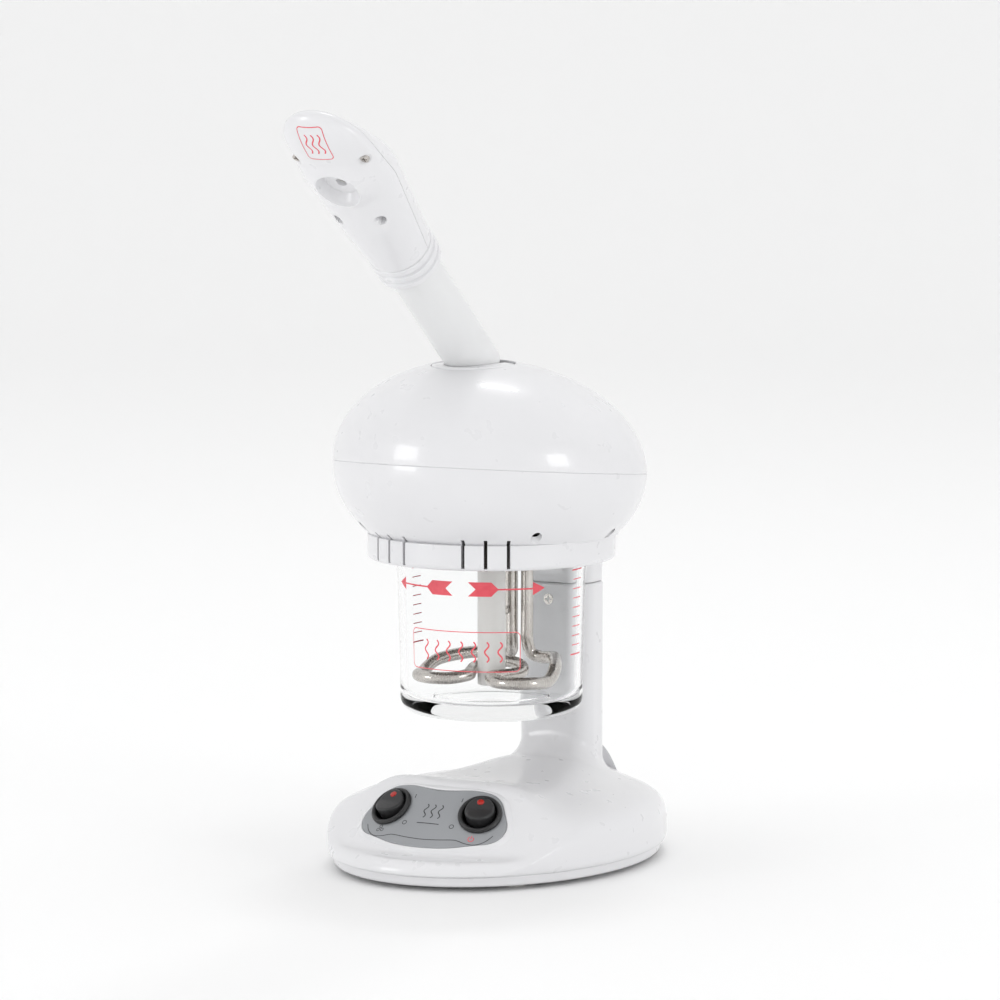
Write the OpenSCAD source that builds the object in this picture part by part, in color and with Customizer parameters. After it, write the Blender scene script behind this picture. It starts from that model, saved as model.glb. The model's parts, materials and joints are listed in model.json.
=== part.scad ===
// Table-top facial steamer: oval base with a sloped switch console, a rear column,
// a pebble-shaped boiler head with a screw-on glass jar, and a swivelling steam arm.
// Millimetres, +Z up, -Y is the front. Z = 0 is the surface that the feet stand on.
// Every sub-part is drawn about the jar axis, then moved back by jar_y, so that the
// origin lies under the middle of the whole steamer.

/* [Base] */
// Half width of the oval base cover
base_half_w = 82.5; // [78:0.5:90]
// Half length of the oval base cover, front to back
base_half_l = 108; // [104:0.5:115]
// Distance of the base centre behind the jar axis
base_shift = 8; // [5:0.5:12]
// Height of the seam between the base cover and the base plate
base_seam_z = 8; // [7:0.5:9]
// Height of the low dome of the base cover at its middle
base_dome_z = 38; // [34:1:42]
// Height of the rubber feet below the base plate
foot_h = 2.5; // [2:0.5:4]
// Moulded wall thickness of every casing
wall = 2.5; // [2:0.1:3]

/* [Column] */
// Width of the rear column
column_w = 43; // [40:1:48]
// Depth of the rear column, front to back
column_d = 27; // [24:1:30]
// Distance of the column centre behind the jar axis
column_y = 79; // [78:0.5:81]
// Height of the joint between the column and the head
column_joint_z = 139; // [136:1:144]

/* [Console] */
// Height of the switch centres
switch_z = 34.3; // [33:0.5:36]
// Distance of each switch from the middle plane
switch_x = 25.7; // [24:0.5:27]
// Distance of the switch centres in front of the jar axis
switch_y = 59.2; // [58:0.2:60]
// Radius of the console face seen from above
console_r = 99; // [90:1:110]
// Diameter of the switch bezels
bezel_d = 23; // [22:0.5:24]
// Angle that a rocker turns through between off and on
rocker_travel = 16; // [10:1:18]

/* [Head] */
// Half width of the head at its seam
head_r = 82; // [78:0.5:86]
// Half length of the head at its seam, front to back
head_ry = 79.6; // [76:0.2:84]
// Height of the dome above the seam
dome_h = 55.9; // [50:0.5:60]
// Forward lean of the dome's top, per millimetre of height
dome_lean = 0.14; // [0.1:0.01:0.18]
// Depth of the bowl below the seam, before the collar cuts it
bowl_h = 56.5; // [54:0.5:60]
// Height of the middle of the head seam
seam_z = 206.9; // [204:0.5:210]
// Upward tilt of the front of the head
head_tilt = 5.2; // [4:0.1:6]

/* [Collar and jar] */
// Outer radius of the vented collar under the head
collar_r = 64.5; // [63:0.5:66]
// Height of the collar's lower edge
collar_z = 159.7; // [158:0.5:162]
// Outer radius of the glass jar under the collar
jar_r = 49.2; // [48:0.2:50]
// Outer radius of the glass jar above its rounded foot
jar_foot_r = 47.4; // [46:0.2:48]
// Height of the underside of the jar
jar_z = 79; // [77:0.5:82]
// Height of the jar's inner floor
jar_floor_z = 86.8; // [85:0.5:88]
// Wall thickness of the glass
glass_wall = 3.2; // [3:0.1:3.6]

/* [Heater] */
// Diameter of the stainless heater tube
heater_d = 6.5; // [6:0.1:7]
// Height of the lowest stretch of the heater above the jar floor
heater_lift = 11; // [9:0.5:12]

/* [Arm and nozzle] */
// Lean of the steam arm away from upright
arm_lean = 50.7; // [48:0.5:54]
// Outer diameter of the clear arm tube
arm_d = 26.8; // [26:0.2:27.6]
// Length along the arm from the dome to the middle of the ribbed ring
arm_length = 92.5; // [88:0.5:96]
// Length of the nozzle head above the middle of the ribbed ring
nozzle_length = 119; // [116:1:122]
// Half width of the nozzle head at its widest
nozzle_half_w = 26; // [24:0.5:28]

/* [Hidden] */
$fn = 96;
round_fn = 32;          // facets of the balls inside a hull
eps = 0.01;             // overlap that keeps cuts clean
far = 400;              // larger than the steamer
gap = 0.3;              // clearance between bodies that move past each other
jar_y = 35;             // places the middle of the whole steamer over the origin

// Head dome: where its top is, from the tilted and leaning ellipsoid
top_b = -head_ry * sin(head_tilt);
top_c = dome_h * (dome_lean * sin(head_tilt) + cos(head_tilt));
top_n = sqrt(top_b * top_b + top_c * top_c);
head_y = -1.7;
top_z = seam_z + top_n;

// Base
floor_z = foot_h + wall;                // inner floor of the base plate
ledge_top_z = 15.5;                     // flat ledge in front of the console face
hump_z = 49;                            // top of the hump behind the console
console_sag = console_r * (1 - cos(asin(switch_x / console_r)));
base_screw_spots = [[-48, -40], [48, -40], [-48, 55], [48, 55]];
foot_spots = [[-44, -58], [44, -58], [-44, 76], [44, 76]];
foot_r = 7;
screw_seat = 2.6;                       // depth of the counterbores under the base plate
column_screw_z = column_joint_z - 9;
harness_r = 3;
harness_y = column_y - 3;               // the wires rise just in front of the column's middle
harness_low_z = 15;                     // heights of the two bends of the wires
harness_high_z = 183;

// Mains lead inlet at the rear
cord_z = 16;
cord_r = 3.6;                           // radius of the hole for the lead
grommet_w = 12;                         // width of the grommet where the cover grips it
grommet_l = 8.5;

// Switches
switch_can_r = 10;
rocker_pivot = 3.5;                     // depth of the rocker's pivot below the panel
rocker_hole_r = 9;
lens_r = 2;
lens_y = 4.4;                           // distance of the lens from the rocker's pivot

// Head casings
ledge_z = 172.8;                        // crease between the collar and the bowl
turret_y = -19.5;                       // vertical axis that the arm swivels about
turret_r = 21.6;
turret_z = top_z - 0.6;
boss_drop = 12;                         // depth of the turret's seat under the dome
head_screw_angles = [48, 92, 146, -48, -92, -146];
head_screw_r = 67.6;
head_recess_r = 2.9;                    // screw recesses in the overhang of the bowl
head_recess_h = 9;
slot_angles = [15.4, 25.8, 36.2];       // vent slots, each side of the front
slot_w = 1.8;

// Jar, heater plate and steam path
socket_r = 56;                          // outside of the ring that the jar screws into
socket_top_z = 177.8;
jar_top_z = 169;
gasket_h = 1.8;
plate_top_z = jar_top_z + gasket_h + 4; // top of the plate that carries the heater
leg_x = 4.6;                            // heater legs
leg_y = 31;
well_x = -5.5;                          // sensor sleeve
well_y = 23;
well_r = 3.5;
well_z = 130;
centre_r = 7.3;
riser_r = 11;
riser_shift = 4;
riser_top = top_z - 34;
spigot_r = 8.5;                         // pipe under the turret, inside the bush

// Nozzle
ring_r = 17.3;
ring_h = 14;
ring_gap = 0.08;                        // running clearance of the ring on the tube
seam_front = 1;                         // the nozzle's seam lies this far in front of its axis
cone_z = 72.5;                          // middle of the outlet cone, along the nozzle
nozzle_screw_spots = [[-19, 88], [19, 88], [-12, 47], [12, 47]];
nozzle_seat_y = 6;                      // depth of the screw seats in front of the axis
outlet_r = 2.4;
duct_r = 7.4;

// Moves a sub-part from the jar axis to the steamer's own origin
module about_jar() translate([0, jar_y, 0]) children();

// ---------------------------------------------------------------- shared shapes

// Rectangle with rounded corners, centred
module rounded_rect(w, d, r) {
    square([w - 2 * r, d], center = true);
    square([w, d - 2 * r], center = true);
    for (sx = [-1, 1], sy = [-1, 1])
        translate([sx * (w / 2 - r), sy * (d / 2 - r)]) circle(r);
}

// Ring between two radii, standing on z = 0
module ring(r_out, r_in, h) {
    difference() {
        cylinder(r = r_out, h = h);
        translate([0, 0, -eps]) cylinder(r = r_in, h = h + 2 * eps);
    }
}

// Pan-head screw pointing up: the head is below z = 0, the shank above it
module screw_up(shank_r, shank_l, head_r, head_h) {
    translate([0, 0, -eps]) cylinder(r = shank_r, h = shank_l + eps);
    difference() {
        translate([0, 0, -head_h]) cylinder(r = head_r, h = head_h);
        for (turn = [0, 90])
            translate([0, 0, -head_h]) rotate([0, 0, turn])
                cube([head_r * 1.3, head_r * 0.3, head_h], center = true);
    }
}

// ---------------------------------------------------------------- base

// Stretches a turned shape of radius base_half_l into the oval of the base
module oval() {
    translate([0, base_shift, 0])
        scale([base_half_w / base_half_l, 1, 1]) children();
}

// Rounded roll around the edge of the cover, smaller on every side by inset
module rim_roll(inset) {
    roll = 6;
    rim_r = base_half_l - inset;
    oval() rotate_extrude() {
        square([rim_r - roll, ledge_top_z - inset]);
        translate([0, base_seam_z]) square([rim_r - 2, 5]);
        translate([rim_r - roll, ledge_top_z - inset - roll]) circle(roll);
    }
}

// Upper dome of the cover: a squarish superellipse turned about the oval's middle
module upper_dome(inset) {
    squareness = 4.2;
    dome_r = base_half_l - 1 - inset;
    rise = base_dome_z - 12 - inset;
    oval() rotate_extrude() polygon(concat([[0, base_seam_z], [dome_r, base_seam_z]],
        [for (t = [0 : 7.5 : 90])
            [dome_r * pow(cos(t), 2 / squareness), 12 + rise * pow(sin(t), 2 / squareness)]]));
}

// Cone that carries the sloped console face; grow moves the face outward
module console_cone(grow) {
    face_r = console_r + grow * sqrt(2);
    depth = 40;
    translate([0, console_r - switch_y - console_sag, switch_z - depth])
        cylinder(r1 = face_r + depth, r2 = face_r - depth, h = 2 * depth);
}

// Low hump behind the console face, with a saddle towards the column
module hump(inset) {
    ball = 12 - inset;
    hull() for (side = [-1, 1]) {
        translate([side * 22, -34, hump_z - 12]) sphere(ball, $fn = round_fn);
        translate([side * 58, -26, base_dome_z - 14]) sphere(ball, $fn = round_fn);
        translate([side * 24, 10, base_dome_z - 8]) sphere(ball, $fn = round_fn);
        translate([side * 14, column_y, base_dome_z - 2]) sphere(ball, $fn = round_fn);
    }
}

// Column outline, smaller on every side by inset
module column_outline(inset) rounded_rect(column_w - 2 * inset, column_d - 2 * inset, 10 - inset);

// Places children at the front of the column, +Z into it
module at_column_screw()
    translate([0, column_y - column_d / 2, column_screw_z]) rotate([-90, 0, 0]) children();

// Column with its flared foot, from the base up to top
module column_solid(inset, top) {
    flare = 5 - inset;
    translate([0, column_y, base_seam_z]) linear_extrude(top - base_seam_z) column_outline(inset);
    hull() {
        translate([0, column_y, base_dome_z - 8])
            linear_extrude(1) rounded_rect(column_w + 2 * flare, column_d + 2 * flare, 12);
        translate([0, column_y, base_dome_z + 12]) linear_extrude(1) column_outline(inset);
    }
}

// Puts children at each switch: origin at its centre on the face, +Z out of the face
module at_switch(side) {
    face_turn = asin(switch_x / console_r);
    translate([side * switch_x, -switch_y, switch_z]) rotate([0, 0, side * face_turn]) rotate([45, 0, 0])
        children();
}

// Oval floor of the base: a shallow tray with screw bosses and seats for the feet
module base_plate() color("whitesmoke") about_jar() {
    edge = 3;
    difference() {
        oval() translate([0, 0, foot_h])
            cylinder(r = base_half_l - edge, h = base_seam_z - foot_h - 0.2);
        difference() {
            oval() translate([0, 0, floor_z]) cylinder(r = base_half_l - edge - wall, h = foot_h + wall);
            for (spot = base_screw_spots) translate([spot[0], spot[1], 0]) cylinder(r = 6, h = base_seam_z);
        }
        for (spot = base_screw_spots) translate([spot[0], spot[1], 0]) {
            translate([0, 0, foot_h - eps]) cylinder(r = 3.6, h = screw_seat + 2 * eps);
            cylinder(r = 1.8, h = base_seam_z);
        }
        for (spot = foot_spots)
            translate([spot[0], spot[1], 0]) cylinder(r = foot_r + 0.1, h = foot_h + 1.5);
    }
}

// Four round rubber feet
module rubber_feet() color("gainsboro") about_jar()
    for (spot = foot_spots) translate([spot[0], spot[1], 0]) {
        cylinder(r = foot_r - 1, h = foot_h);
        translate([0, 0, 0.8]) cylinder(r = foot_r, h = foot_h + 0.6);
    }

// Screws that hold the plate to the cover
module base_screws() color("silver") about_jar()
    for (spot = base_screw_spots)
        translate([spot[0], spot[1], foot_h + screw_seat]) screw_up(1.4, 13, 3.2, 2);

// White cover: low oval dome, console hump and the lower part of the column
module base_cover() color("white") about_jar() {
    difference() {
        union() {
            rim_roll(0);
            intersection() {
                console_cone(0);
                union() {
                    upper_dome(0);
                    hump(0);
                }
            }
            column_solid(0, column_joint_z - 0.2);
        }
        difference() {
            union() {
                rim_roll(wall);
                intersection() {
                    console_cone(-wall);
                    union() {
                        upper_dome(wall);
                        hump(wall);
                    }
                }
            }
            for (spot = base_screw_spots) translate([spot[0], spot[1], 0]) cylinder(r = 4, h = far);
        }
        translate([0, 0, base_seam_z - far / 2]) cube(far, center = true);
        translate([0, column_y, 0]) linear_extrude(far) column_outline(wall);
        for (spot = base_screw_spots) translate([spot[0], spot[1], 0]) cylinder(r = 1.5, h = 19);
        for (side = [-1, 1]) at_switch(side) translate([0, 0, -15]) cylinder(r = switch_can_r + 0.1, h = 30);
        translate([-grommet_w / 2 - 0.05, base_shift + base_half_l - 20, 0])
            cube([grommet_w + 0.1, 30, cord_z + grommet_w / 2 + 0.05]);
        at_column_screw() translate([0, 0, -1]) {
            cylinder(r = 1.6, h = 5);
            cylinder(r = 3.2, h = 2.2);
        }
    }
}

// Grey overlay plate on the console face, with two round holes for the switches
module control_panel() color("darkgray") about_jar() difference() {
    intersection() {
        console_cone(1);
        translate([0, -switch_y, switch_z]) rotate([45, 0, 0]) translate([0, 0, -12]) linear_extrude(40)
            union() {
                hull() for (side = [-1, 1]) {
                    translate([side * 20, 8]) circle(11.5, $fn = round_fn);
                    translate([side * 28, -6]) circle(11.5, $fn = round_fn);
                }
                scale([1, 0.32]) translate([0, -40]) circle(26);
            }
    }
    console_cone(0.02);
    for (side = [-1, 1]) at_switch(side) translate([0, 0, -8]) cylinder(r = switch_can_r + 0.1, h = 20);
}

// ---------------------------------------------------------------- switches

// Round snap-in switch body with a flat bezel ring
module switch_body(side) color("black") about_jar() at_switch(side) difference() {
    union() {
        translate([0, 0, 1.05]) cylinder(r1 = bezel_d / 2, r2 = bezel_d / 2 - 0.8, h = 2);
        translate([0, 0, -13]) cylinder(r = switch_can_r, h = 14.2);
        for (lead = [-5, 5]) translate([lead, 0, -18]) cube([4.8, 0.8, 10.2], center = true);
    }
    translate([0, 0, -9]) cylinder(r = rocker_hole_r, h = 20);
}

// Rocker that turns about its local X axis, tilted by half its travel at rest
module rocker(side) color("#202020") about_jar() at_switch(side)
    translate([0, 0, -rocker_pivot]) rotate([-rocker_travel / 2, 0, 0]) difference() {
        intersection() {
            translate([0, 0, -4]) cylinder(r = 7.8, h = 12);
            rotate([0, 90, 0]) cylinder(r = 9.2, h = 20, center = true);
            rocker_top();
        }
        translate([0, lens_y, 0]) cylinder(r = lens_r + 0.05, h = 12);
    }

// Block whose top dips in the middle, so that each end of the rocker stands up
module rocker_top() rotate([90, 0, 90]) translate([0, 0, -10]) linear_extrude(20)
    polygon([[-9, -5], [9, -5], [9, 6.9], [0, 5.2], [-9, 6.9]]);

// Red lens let into the upper end of the rocker
module rocker_lens(side) color("red") about_jar() at_switch(side)
    translate([0, 0, -rocker_pivot]) rotate([-rocker_travel / 2, 0, 0])
        translate([0, lens_y, 2]) cylinder(r = lens_r, h = 4.2);

module power_switch_body() switch_body(1);
module power_rocker() rocker(1);
module power_lens() rocker_lens(1);
module ozone_switch_body() switch_body(-1);
module ozone_rocker() rocker(-1);
module ozone_lens() rocker_lens(-1);

// ---------------------------------------------------------------- inside the base

// Square rubber grommet in the notch of the rear wall, drilled for the mains lead
module cord_grommet() color("gray") about_jar()
    translate([0, base_shift + base_half_l - 9, 0]) difference() {
        union() {
            translate([-grommet_w / 2, 0, base_seam_z])
                cube([grommet_w, grommet_l, cord_z + grommet_w / 2 - base_seam_z]);
            translate([-grommet_w / 2 - 2, 0, base_seam_z])
                cube([grommet_w + 4, 2, cord_z + grommet_w / 2 + 2 - base_seam_z]);
        }
        translate([0, -eps, cord_z]) rotate([-90, 0, 0]) cylinder(r = cord_r, h = grommet_l + 2 * eps);
    }

// Screw terminal block on the base plate
module terminal_block() color("ivory") about_jar() translate([0, 30, floor_z + 4.02]) difference() {
    cube([36, 14, 8], center = true);
    for (pole = [-12, 0, 12]) translate([pole, 0, 0]) {
        cylinder(r = 2, h = 10);
        rotate([90, 0, 0]) translate([0, 0, -10]) cylinder(r = 1.6, h = 20);
    }
}

// Control board with a relay and a fuse holder
module control_board() color("seagreen") about_jar() translate([0, 0, base_seam_z + 3]) {
    translate([-26, -20, 0]) cube([52, 34, 1.6]);
    translate([-20, -14, 1.6 - eps]) cube([19, 15, 10]);
    translate([4, -8, 4.8]) rotate([0, 90, 0]) cylinder(r = 3.4, h = 18);
    board_lift = base_seam_z + 3 - floor_z;
    for (post = [[-23, -17], [23, -17], [-23, 11], [23, 11]])
        translate([post[0], post[1], 0.02 - board_lift]) cylinder(r = 2.4, h = board_lift + 0.1);
}

// Bundle of wires up the column into the head
module wiring_harness() color("dimgray") about_jar() {
    translate([0, harness_y, harness_low_z]) cylinder(r = harness_r, h = harness_high_z - harness_low_z);
    translate([0, harness_y, harness_low_z]) rotate([90, 0, 0]) cylinder(r = harness_r, h = 34);
    translate([0, harness_y, harness_low_z]) sphere(harness_r);
    translate([0, harness_y, harness_high_z]) rotate([90, 0, 0]) cylinder(r = harness_r, h = 24);
    translate([0, harness_y, harness_high_z]) sphere(harness_r);
}

// Screw that pins the two parts of the column together
module column_screw() color("silver") about_jar()
    at_column_screw() translate([0, 0, 1.1]) screw_up(1.4, 6, 2.9, 1.4);

// ---------------------------------------------------------------- head

// Moves children from the seam's own frame, raised at the front, to the steamer
module at_seam() translate([0, head_y, seam_z]) rotate([-head_tilt, 0, 0]) children();

// Ellipsoid of the dome, leaning forward as it rises, smaller on every side by inset
module dome_form(inset)
    multmatrix([[1, 0, 0, 0], [0, 1, -dome_lean, 0], [0, 0, 1, 0], [0, 0, 0, 1]])
        scale([1, (head_ry - inset) / (head_r - inset), (dome_h - inset) / (head_r - inset)])
            sphere(head_r - inset);

// Ellipsoid of the bowl under the seam, smaller on every side by inset
module bowl_form(inset)
    scale([1, (head_ry - inset) / (head_r - inset), (bowl_h - inset) / (head_r - inset)])
        sphere(head_r - inset);

// Everything above (side = 1) or below (side = -1) the seam plane
module seam_half(side, shift = 0) translate([0, 0, shift + side * far / 2]) cube(far, center = true);

// Places children at each head screw, turned from the front towards the right
module at_head_screws()
    for (angle = head_screw_angles) rotate([0, 0, angle]) translate([0, -head_screw_r, 0]) children();

// Lower casing: bowl, vented collar and the stub that stands on the column
module head_lower_shell() color("white") about_jar() difference() {
    union() {
        intersection() {
            at_seam() difference() {
                intersection() {
                    bowl_form(0);
                    seam_half(-1, -0.15);
                }
                bowl_form(wall);
            }
            translate([0, 0, ledge_z + far / 2 - 1]) cube(far, center = true);
        }
        translate([0, 0, collar_z]) rotate_extrude() difference() {
            union() {
                square([collar_r, ledge_z - collar_z - 1]);
                square([collar_r - 1.5, ledge_z - collar_z + 1.5]);
            }
            square([collar_r - 7, ledge_z]);
            difference() {
                translate([collar_r - 1.5, -eps]) square(1.5 + eps);
                translate([collar_r - 1.5, 1.5]) circle(1.5);
            }
        }
        translate([0, 0, ledge_z - 2]) ring(collar_r - 6.9, socket_r + 0.05, 4);
        intersection() {
            translate([0, column_y, column_joint_z]) linear_extrude(seam_z - column_joint_z - 9)
                column_outline(0);
            difference() {
                translate([-far / 2, 0, 0]) cube(far);
                at_seam() bowl_form(wall);
                cylinder(r = collar_r - 7, h = ledge_z + 1);
            }
        }
        translate([0, column_y, column_joint_z - 16]) linear_extrude(20) column_outline(wall + 0.1);
        intersection() {
            at_head_screws() translate([0, 0, ledge_z - 1]) cylinder(r = 5, h = 40);
            at_seam() bowl_form(wall / 2);
            at_seam() seam_half(-1, -0.15);
        }
    }
    translate([0, harness_y, column_joint_z - 20]) cylinder(r = harness_r + 2, h = 68);
    translate([0, harness_y, harness_high_z]) rotate([90, 0, 0]) cylinder(r = harness_r + 2, h = 26);
    for (side = [-1, 1], angle = slot_angles) rotate([0, 0, side * angle])
        translate([-slot_w / 2, -collar_r - 2, collar_z + 1.5]) cube([slot_w, 5, ledge_z - collar_z + 1.5]);
    at_head_screws() {
        translate([0, 0, ledge_z]) cylinder(r = 1.6, h = 60);
        translate([0, 0, ledge_z]) cylinder(r = head_recess_r, h = head_recess_h);
    }
    at_column_screw() cylinder(r = 1.4, h = 13);
}

// Upper casing: leaning dome with the round seat of the arm turret
module head_upper_shell() color("white") about_jar() difference() {
    union() {
        at_seam() difference() {
            intersection() {
                dome_form(0);
                seam_half(1, 0.15);
            }
            dome_form(wall);
        }
        intersection() {
            translate([0, turret_y, top_z - boss_drop]) cylinder(r = turret_r + 5, h = 20);
            at_seam() dome_form(wall / 2);
        }
        intersection() {
            at_head_screws() cylinder(r = 4, h = far);
            at_seam() dome_form(wall / 2);
            at_seam() seam_half(1, 0.15);
        }
    }
    translate([0, turret_y, top_z - 30]) cylinder(r = turret_r + gap, h = 60);
    at_head_screws() cylinder(r = 1.3, h = seam_z + 14);
}

// Six long screws that pull the two casings together
module head_screws() color("silver") about_jar() at_head_screws()
    translate([0, 0, ledge_z + head_recess_h - eps]) screw_up(1.25, seam_z - ledge_z, 2.6, 1.8);

// ---------------------------------------------------------------- jar and boiler

// Heat-proof ring inside the collar that holds the jar's neck
module jar_socket() color("lightgray") about_jar() difference() {
    union() {
        translate([0, 0, collar_z + 0.8]) cylinder(r = socket_r, h = socket_top_z - collar_z - 0.8);
        translate([0, 0, ledge_z + 2.1]) cylinder(r = socket_r + 4, h = 2.4);
    }
    translate([0, 0, collar_z]) cylinder(r = jar_r + gap, h = far);
}

// Glass jar: straight neck, slightly drawn-in wall and a rounded heavy foot
module glass_jar() color("lightcyan", 0.4) about_jar() {
    foot_curve = 10;
    rotate_extrude() difference() {
        union() {
            polygon([[0, jar_z + foot_curve], [jar_foot_r, jar_z + foot_curve],
                     [jar_r, collar_z + 1], [jar_r, jar_top_z], [0, jar_top_z]]);
            translate([0, jar_z]) square([jar_foot_r - foot_curve, foot_curve + 1]);
            intersection() {
                translate([jar_foot_r - foot_curve, jar_z + foot_curve]) circle(foot_curve);
                translate([0, jar_z]) square([jar_foot_r, foot_curve]);
            }
        }
        inner_curve = foot_curve - 2;
        inner_r = jar_foot_r - glass_wall;
        polygon([[0, jar_floor_z + inner_curve], [inner_r, jar_floor_z + inner_curve],
                 [jar_r - glass_wall, collar_z + 1], [jar_r - glass_wall, far], [0, far]]);
        translate([0, jar_floor_z]) square([inner_r - inner_curve, inner_curve + 1]);
        intersection() {
            translate([inner_r - inner_curve, jar_floor_z + inner_curve]) circle(inner_curve);
            translate([0, jar_floor_z]) square([inner_r, inner_curve]);
        }
    }
}

// Flat silicone ring that lies on the jar's rim
module jar_gasket() color("mistyrose") about_jar()
    translate([0, 0, jar_top_z]) ring(jar_r - 0.2, jar_r - glass_wall - 1, gasket_h);

// Plate that closes the jar and carries the heater, with a steam outlet at the front
module heater_flange() color("silver") about_jar() difference() {
    translate([0, 0, plate_top_z - 4]) cylinder(r = jar_r + gap - 0.05, h = 4);
    for (side = [-1, 1]) translate([side * leg_x, leg_y, 0]) cylinder(r = heater_d / 2 + 0.05, h = far);
    translate([well_x, well_y, 0]) cylinder(r = well_r + 0.02, h = far);
    cylinder(r = centre_r + 0.02, h = far);
    translate([0, turret_y - riser_shift, 0]) cylinder(r = riser_r - 1.5, h = far);
}

// Half of the heater's route below its legs: x, y and height above the lowest stretch
half_route = [[leg_x, leg_y, 30], [leg_x, leg_y, 16], [6, 33, 8], [12, 33, 6], [22, 28, 7], [28, 18, 7],
              [35, 4, 5], [37, -8, 0], [33, -19, 0], [23, -24, 0], [13, -21, 0], [7, -13, 1],
              [10, -5, 1], [13, 2, 1], [14, 8, 2], [9, 14.5, 4], [0, 17, 5]];
loop_z = jar_floor_z + heater_lift;
route = concat([[leg_x, leg_y, 90]], half_route,
               [for (i = [len(half_route) - 2 : -1 : 0])
                   [-half_route[i][0], half_route[i][1], half_route[i][2]]],
               [[-leg_x, leg_y, 90]]);

// Point on the smooth curve through the route, at position t from 0 to len(route) - 1
function route_point(t) = let (
    i = min(floor(t), len(route) - 2), u = t - i,
    p0 = route[max(i - 1, 0)], p1 = route[i], p2 = route[i + 1], p3 = route[min(i + 2, len(route) - 1)])
    (2 * p1 + (p2 - p0) * u + (2 * p0 - 5 * p1 + 4 * p2 - p3) * u * u
     + (3 * p1 - p0 - 3 * p2 + p3) * u * u * u) / 2 + [0, 0, loop_z];
function unit(v) = v / norm(v);

// Direction of the route at position t
function along(t) = unit(route_point(min(t + 0.05, len(route) - 1)) - route_point(max(t - 0.05, 0)));

// Round tube swept along the route, its rings carried without twist from one to the next
module swept_tube(tube_r, sides, steps_per_point) {
    steps = (len(route) - 1) * steps_per_point;
    frames = [for (k = 0, up = [0, 1, 0]; k <= steps;
                   k = k + 1, up = unit(up - (up * along(k / steps_per_point)) * along(k / steps_per_point)))
        [k / steps_per_point, up]];
    rings = [for (f = frames) let (across = cross(along(f[0]), f[1]))
        for (s = [0 : sides - 1])
            route_point(f[0]) + tube_r * (cos(s * 360 / sides) * across + sin(s * 360 / sides) * f[1])];
    walls = [for (k = [0 : steps - 1], s = [0 : sides - 1])
        [k * sides + s, k * sides + (s + 1) % sides, (k + 1) * sides + (s + 1) % sides, (k + 1) * sides + s]];
    first = [for (s = [sides - 1 : -1 : 0]) s];
    last = [for (s = [0 : sides - 1]) steps * sides + s];
    polyhedron(rings, concat([first], walls, [last]), convexity = 8);
}

// Stainless heater: two straight legs and a looped element near the jar floor
module heater_tube() color("silver") about_jar() swept_tube(heater_d / 2, 10, 3);

// Hex nuts that hold the heater legs on the plate
module heater_nuts() color("goldenrod") about_jar() for (side = [-1, 1])
    translate([side * leg_x, leg_y, plate_top_z + 0.02]) ring(heater_d / 2 + 1.2, heater_d / 2 + 0.05, 3);

// Closed steel sleeve of the temperature sensor
module thermowell() color("silver") about_jar() translate([well_x, well_y, 0]) {
    translate([0, 0, well_z]) cylinder(r = well_r, h = plate_top_z + 4 - well_z);
    translate([0, 0, well_z]) sphere(well_r);
}

// White plastic tube down the jar axis
module centre_tube() color("white") about_jar()
    translate([0, 0, jar_floor_z + 6]) ring(centre_r, centre_r - 1.6, jar_top_z + gasket_h - 2 - jar_floor_z);

// Button thermostat clipped to the plate, with its two tabs
module thermal_cutout() color("dimgray") about_jar()
    translate([24, 12, plate_top_z + 0.02]) {
        cylinder(r = 8, h = 6);
        for (tab = [-4, 4]) translate([tab - 0.4, -3, 6 - eps]) cube([0.8, 6, 8]);
    }

// Pipe that carries the steam from the plate up to the turret
module steam_riser() color("ivory") about_jar()
    translate([0, turret_y, plate_top_z + 0.02]) {
        ring(riser_r, riser_r - 1.5, riser_top - plate_top_z);
        ring(riser_r + 3, riser_r - 1.5, 2.5);
    }

// Low-friction bush that the turret's pipe turns in
module swivel_bush() color("white") about_jar() translate([0, turret_y, riser_top + 0.05]) {
    ring(riser_r, spigot_r + 0.06, 12);
    ring(riser_r + 2.5, spigot_r + 0.06, 2);
}

// Ultraviolet tube that ozonises the steam, in its holder beside the riser
module ozone_lamp() color("lavender") about_jar() translate([24, -22, plate_top_z + 0.5]) {
    cylinder(r = 9, h = 10);
    translate([0, 0, 10 - eps]) cylinder(r = 6, h = 26);
    translate([0, 0, 36 - eps]) sphere(6);
}

// Potted ballast of the lamp
module lamp_ballast() color("black") about_jar()
    translate([-38, -4, socket_top_z + 0.1]) translate([-8, -18, 0]) cube([16, 36, 22]);

// ---------------------------------------------------------------- arm

// Frame of the arm: origin at the turret's top, +Z up along the arm, -Y the front face
module at_arm() translate([0, turret_y, turret_z]) rotate([arm_lean, 0, 0]) children();

// Round turret, nearly flush with the dome, with the elbow that joins riser and arm
module arm_turret() color("white") about_jar() difference() {
    union() {
        intersection() {
            translate([0, turret_y, turret_z - 10]) cylinder(r = turret_r, h = 20);
            translate([0, turret_y, turret_z - 118]) sphere(118, $fn = 200);
        }
        translate([0, turret_y, turret_z - 14.5]) cylinder(r = turret_r - 3, h = 5);
        translate([0, turret_y, riser_top + 0.5]) cylinder(r = spigot_r, h = turret_z - 12 - riser_top);
    }
    at_arm() translate([0, 0, -4]) cylinder(r = arm_d / 2 + 0.02, h = 60);
    translate([0, turret_y, riser_top]) cylinder(r = spigot_r - 1.5, h = turret_z - 8 - riser_top);
    at_arm() translate([0, 0, -12]) cylinder(r = spigot_r - 1.5, h = 20);
}

// Snap ring that keeps the turret under the dome
module turret_clip() color("silver") about_jar()
    translate([0, turret_y, top_z - boss_drop - 2.2]) ring(turret_r + 2, turret_r - 2.95, 1.8);

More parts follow.
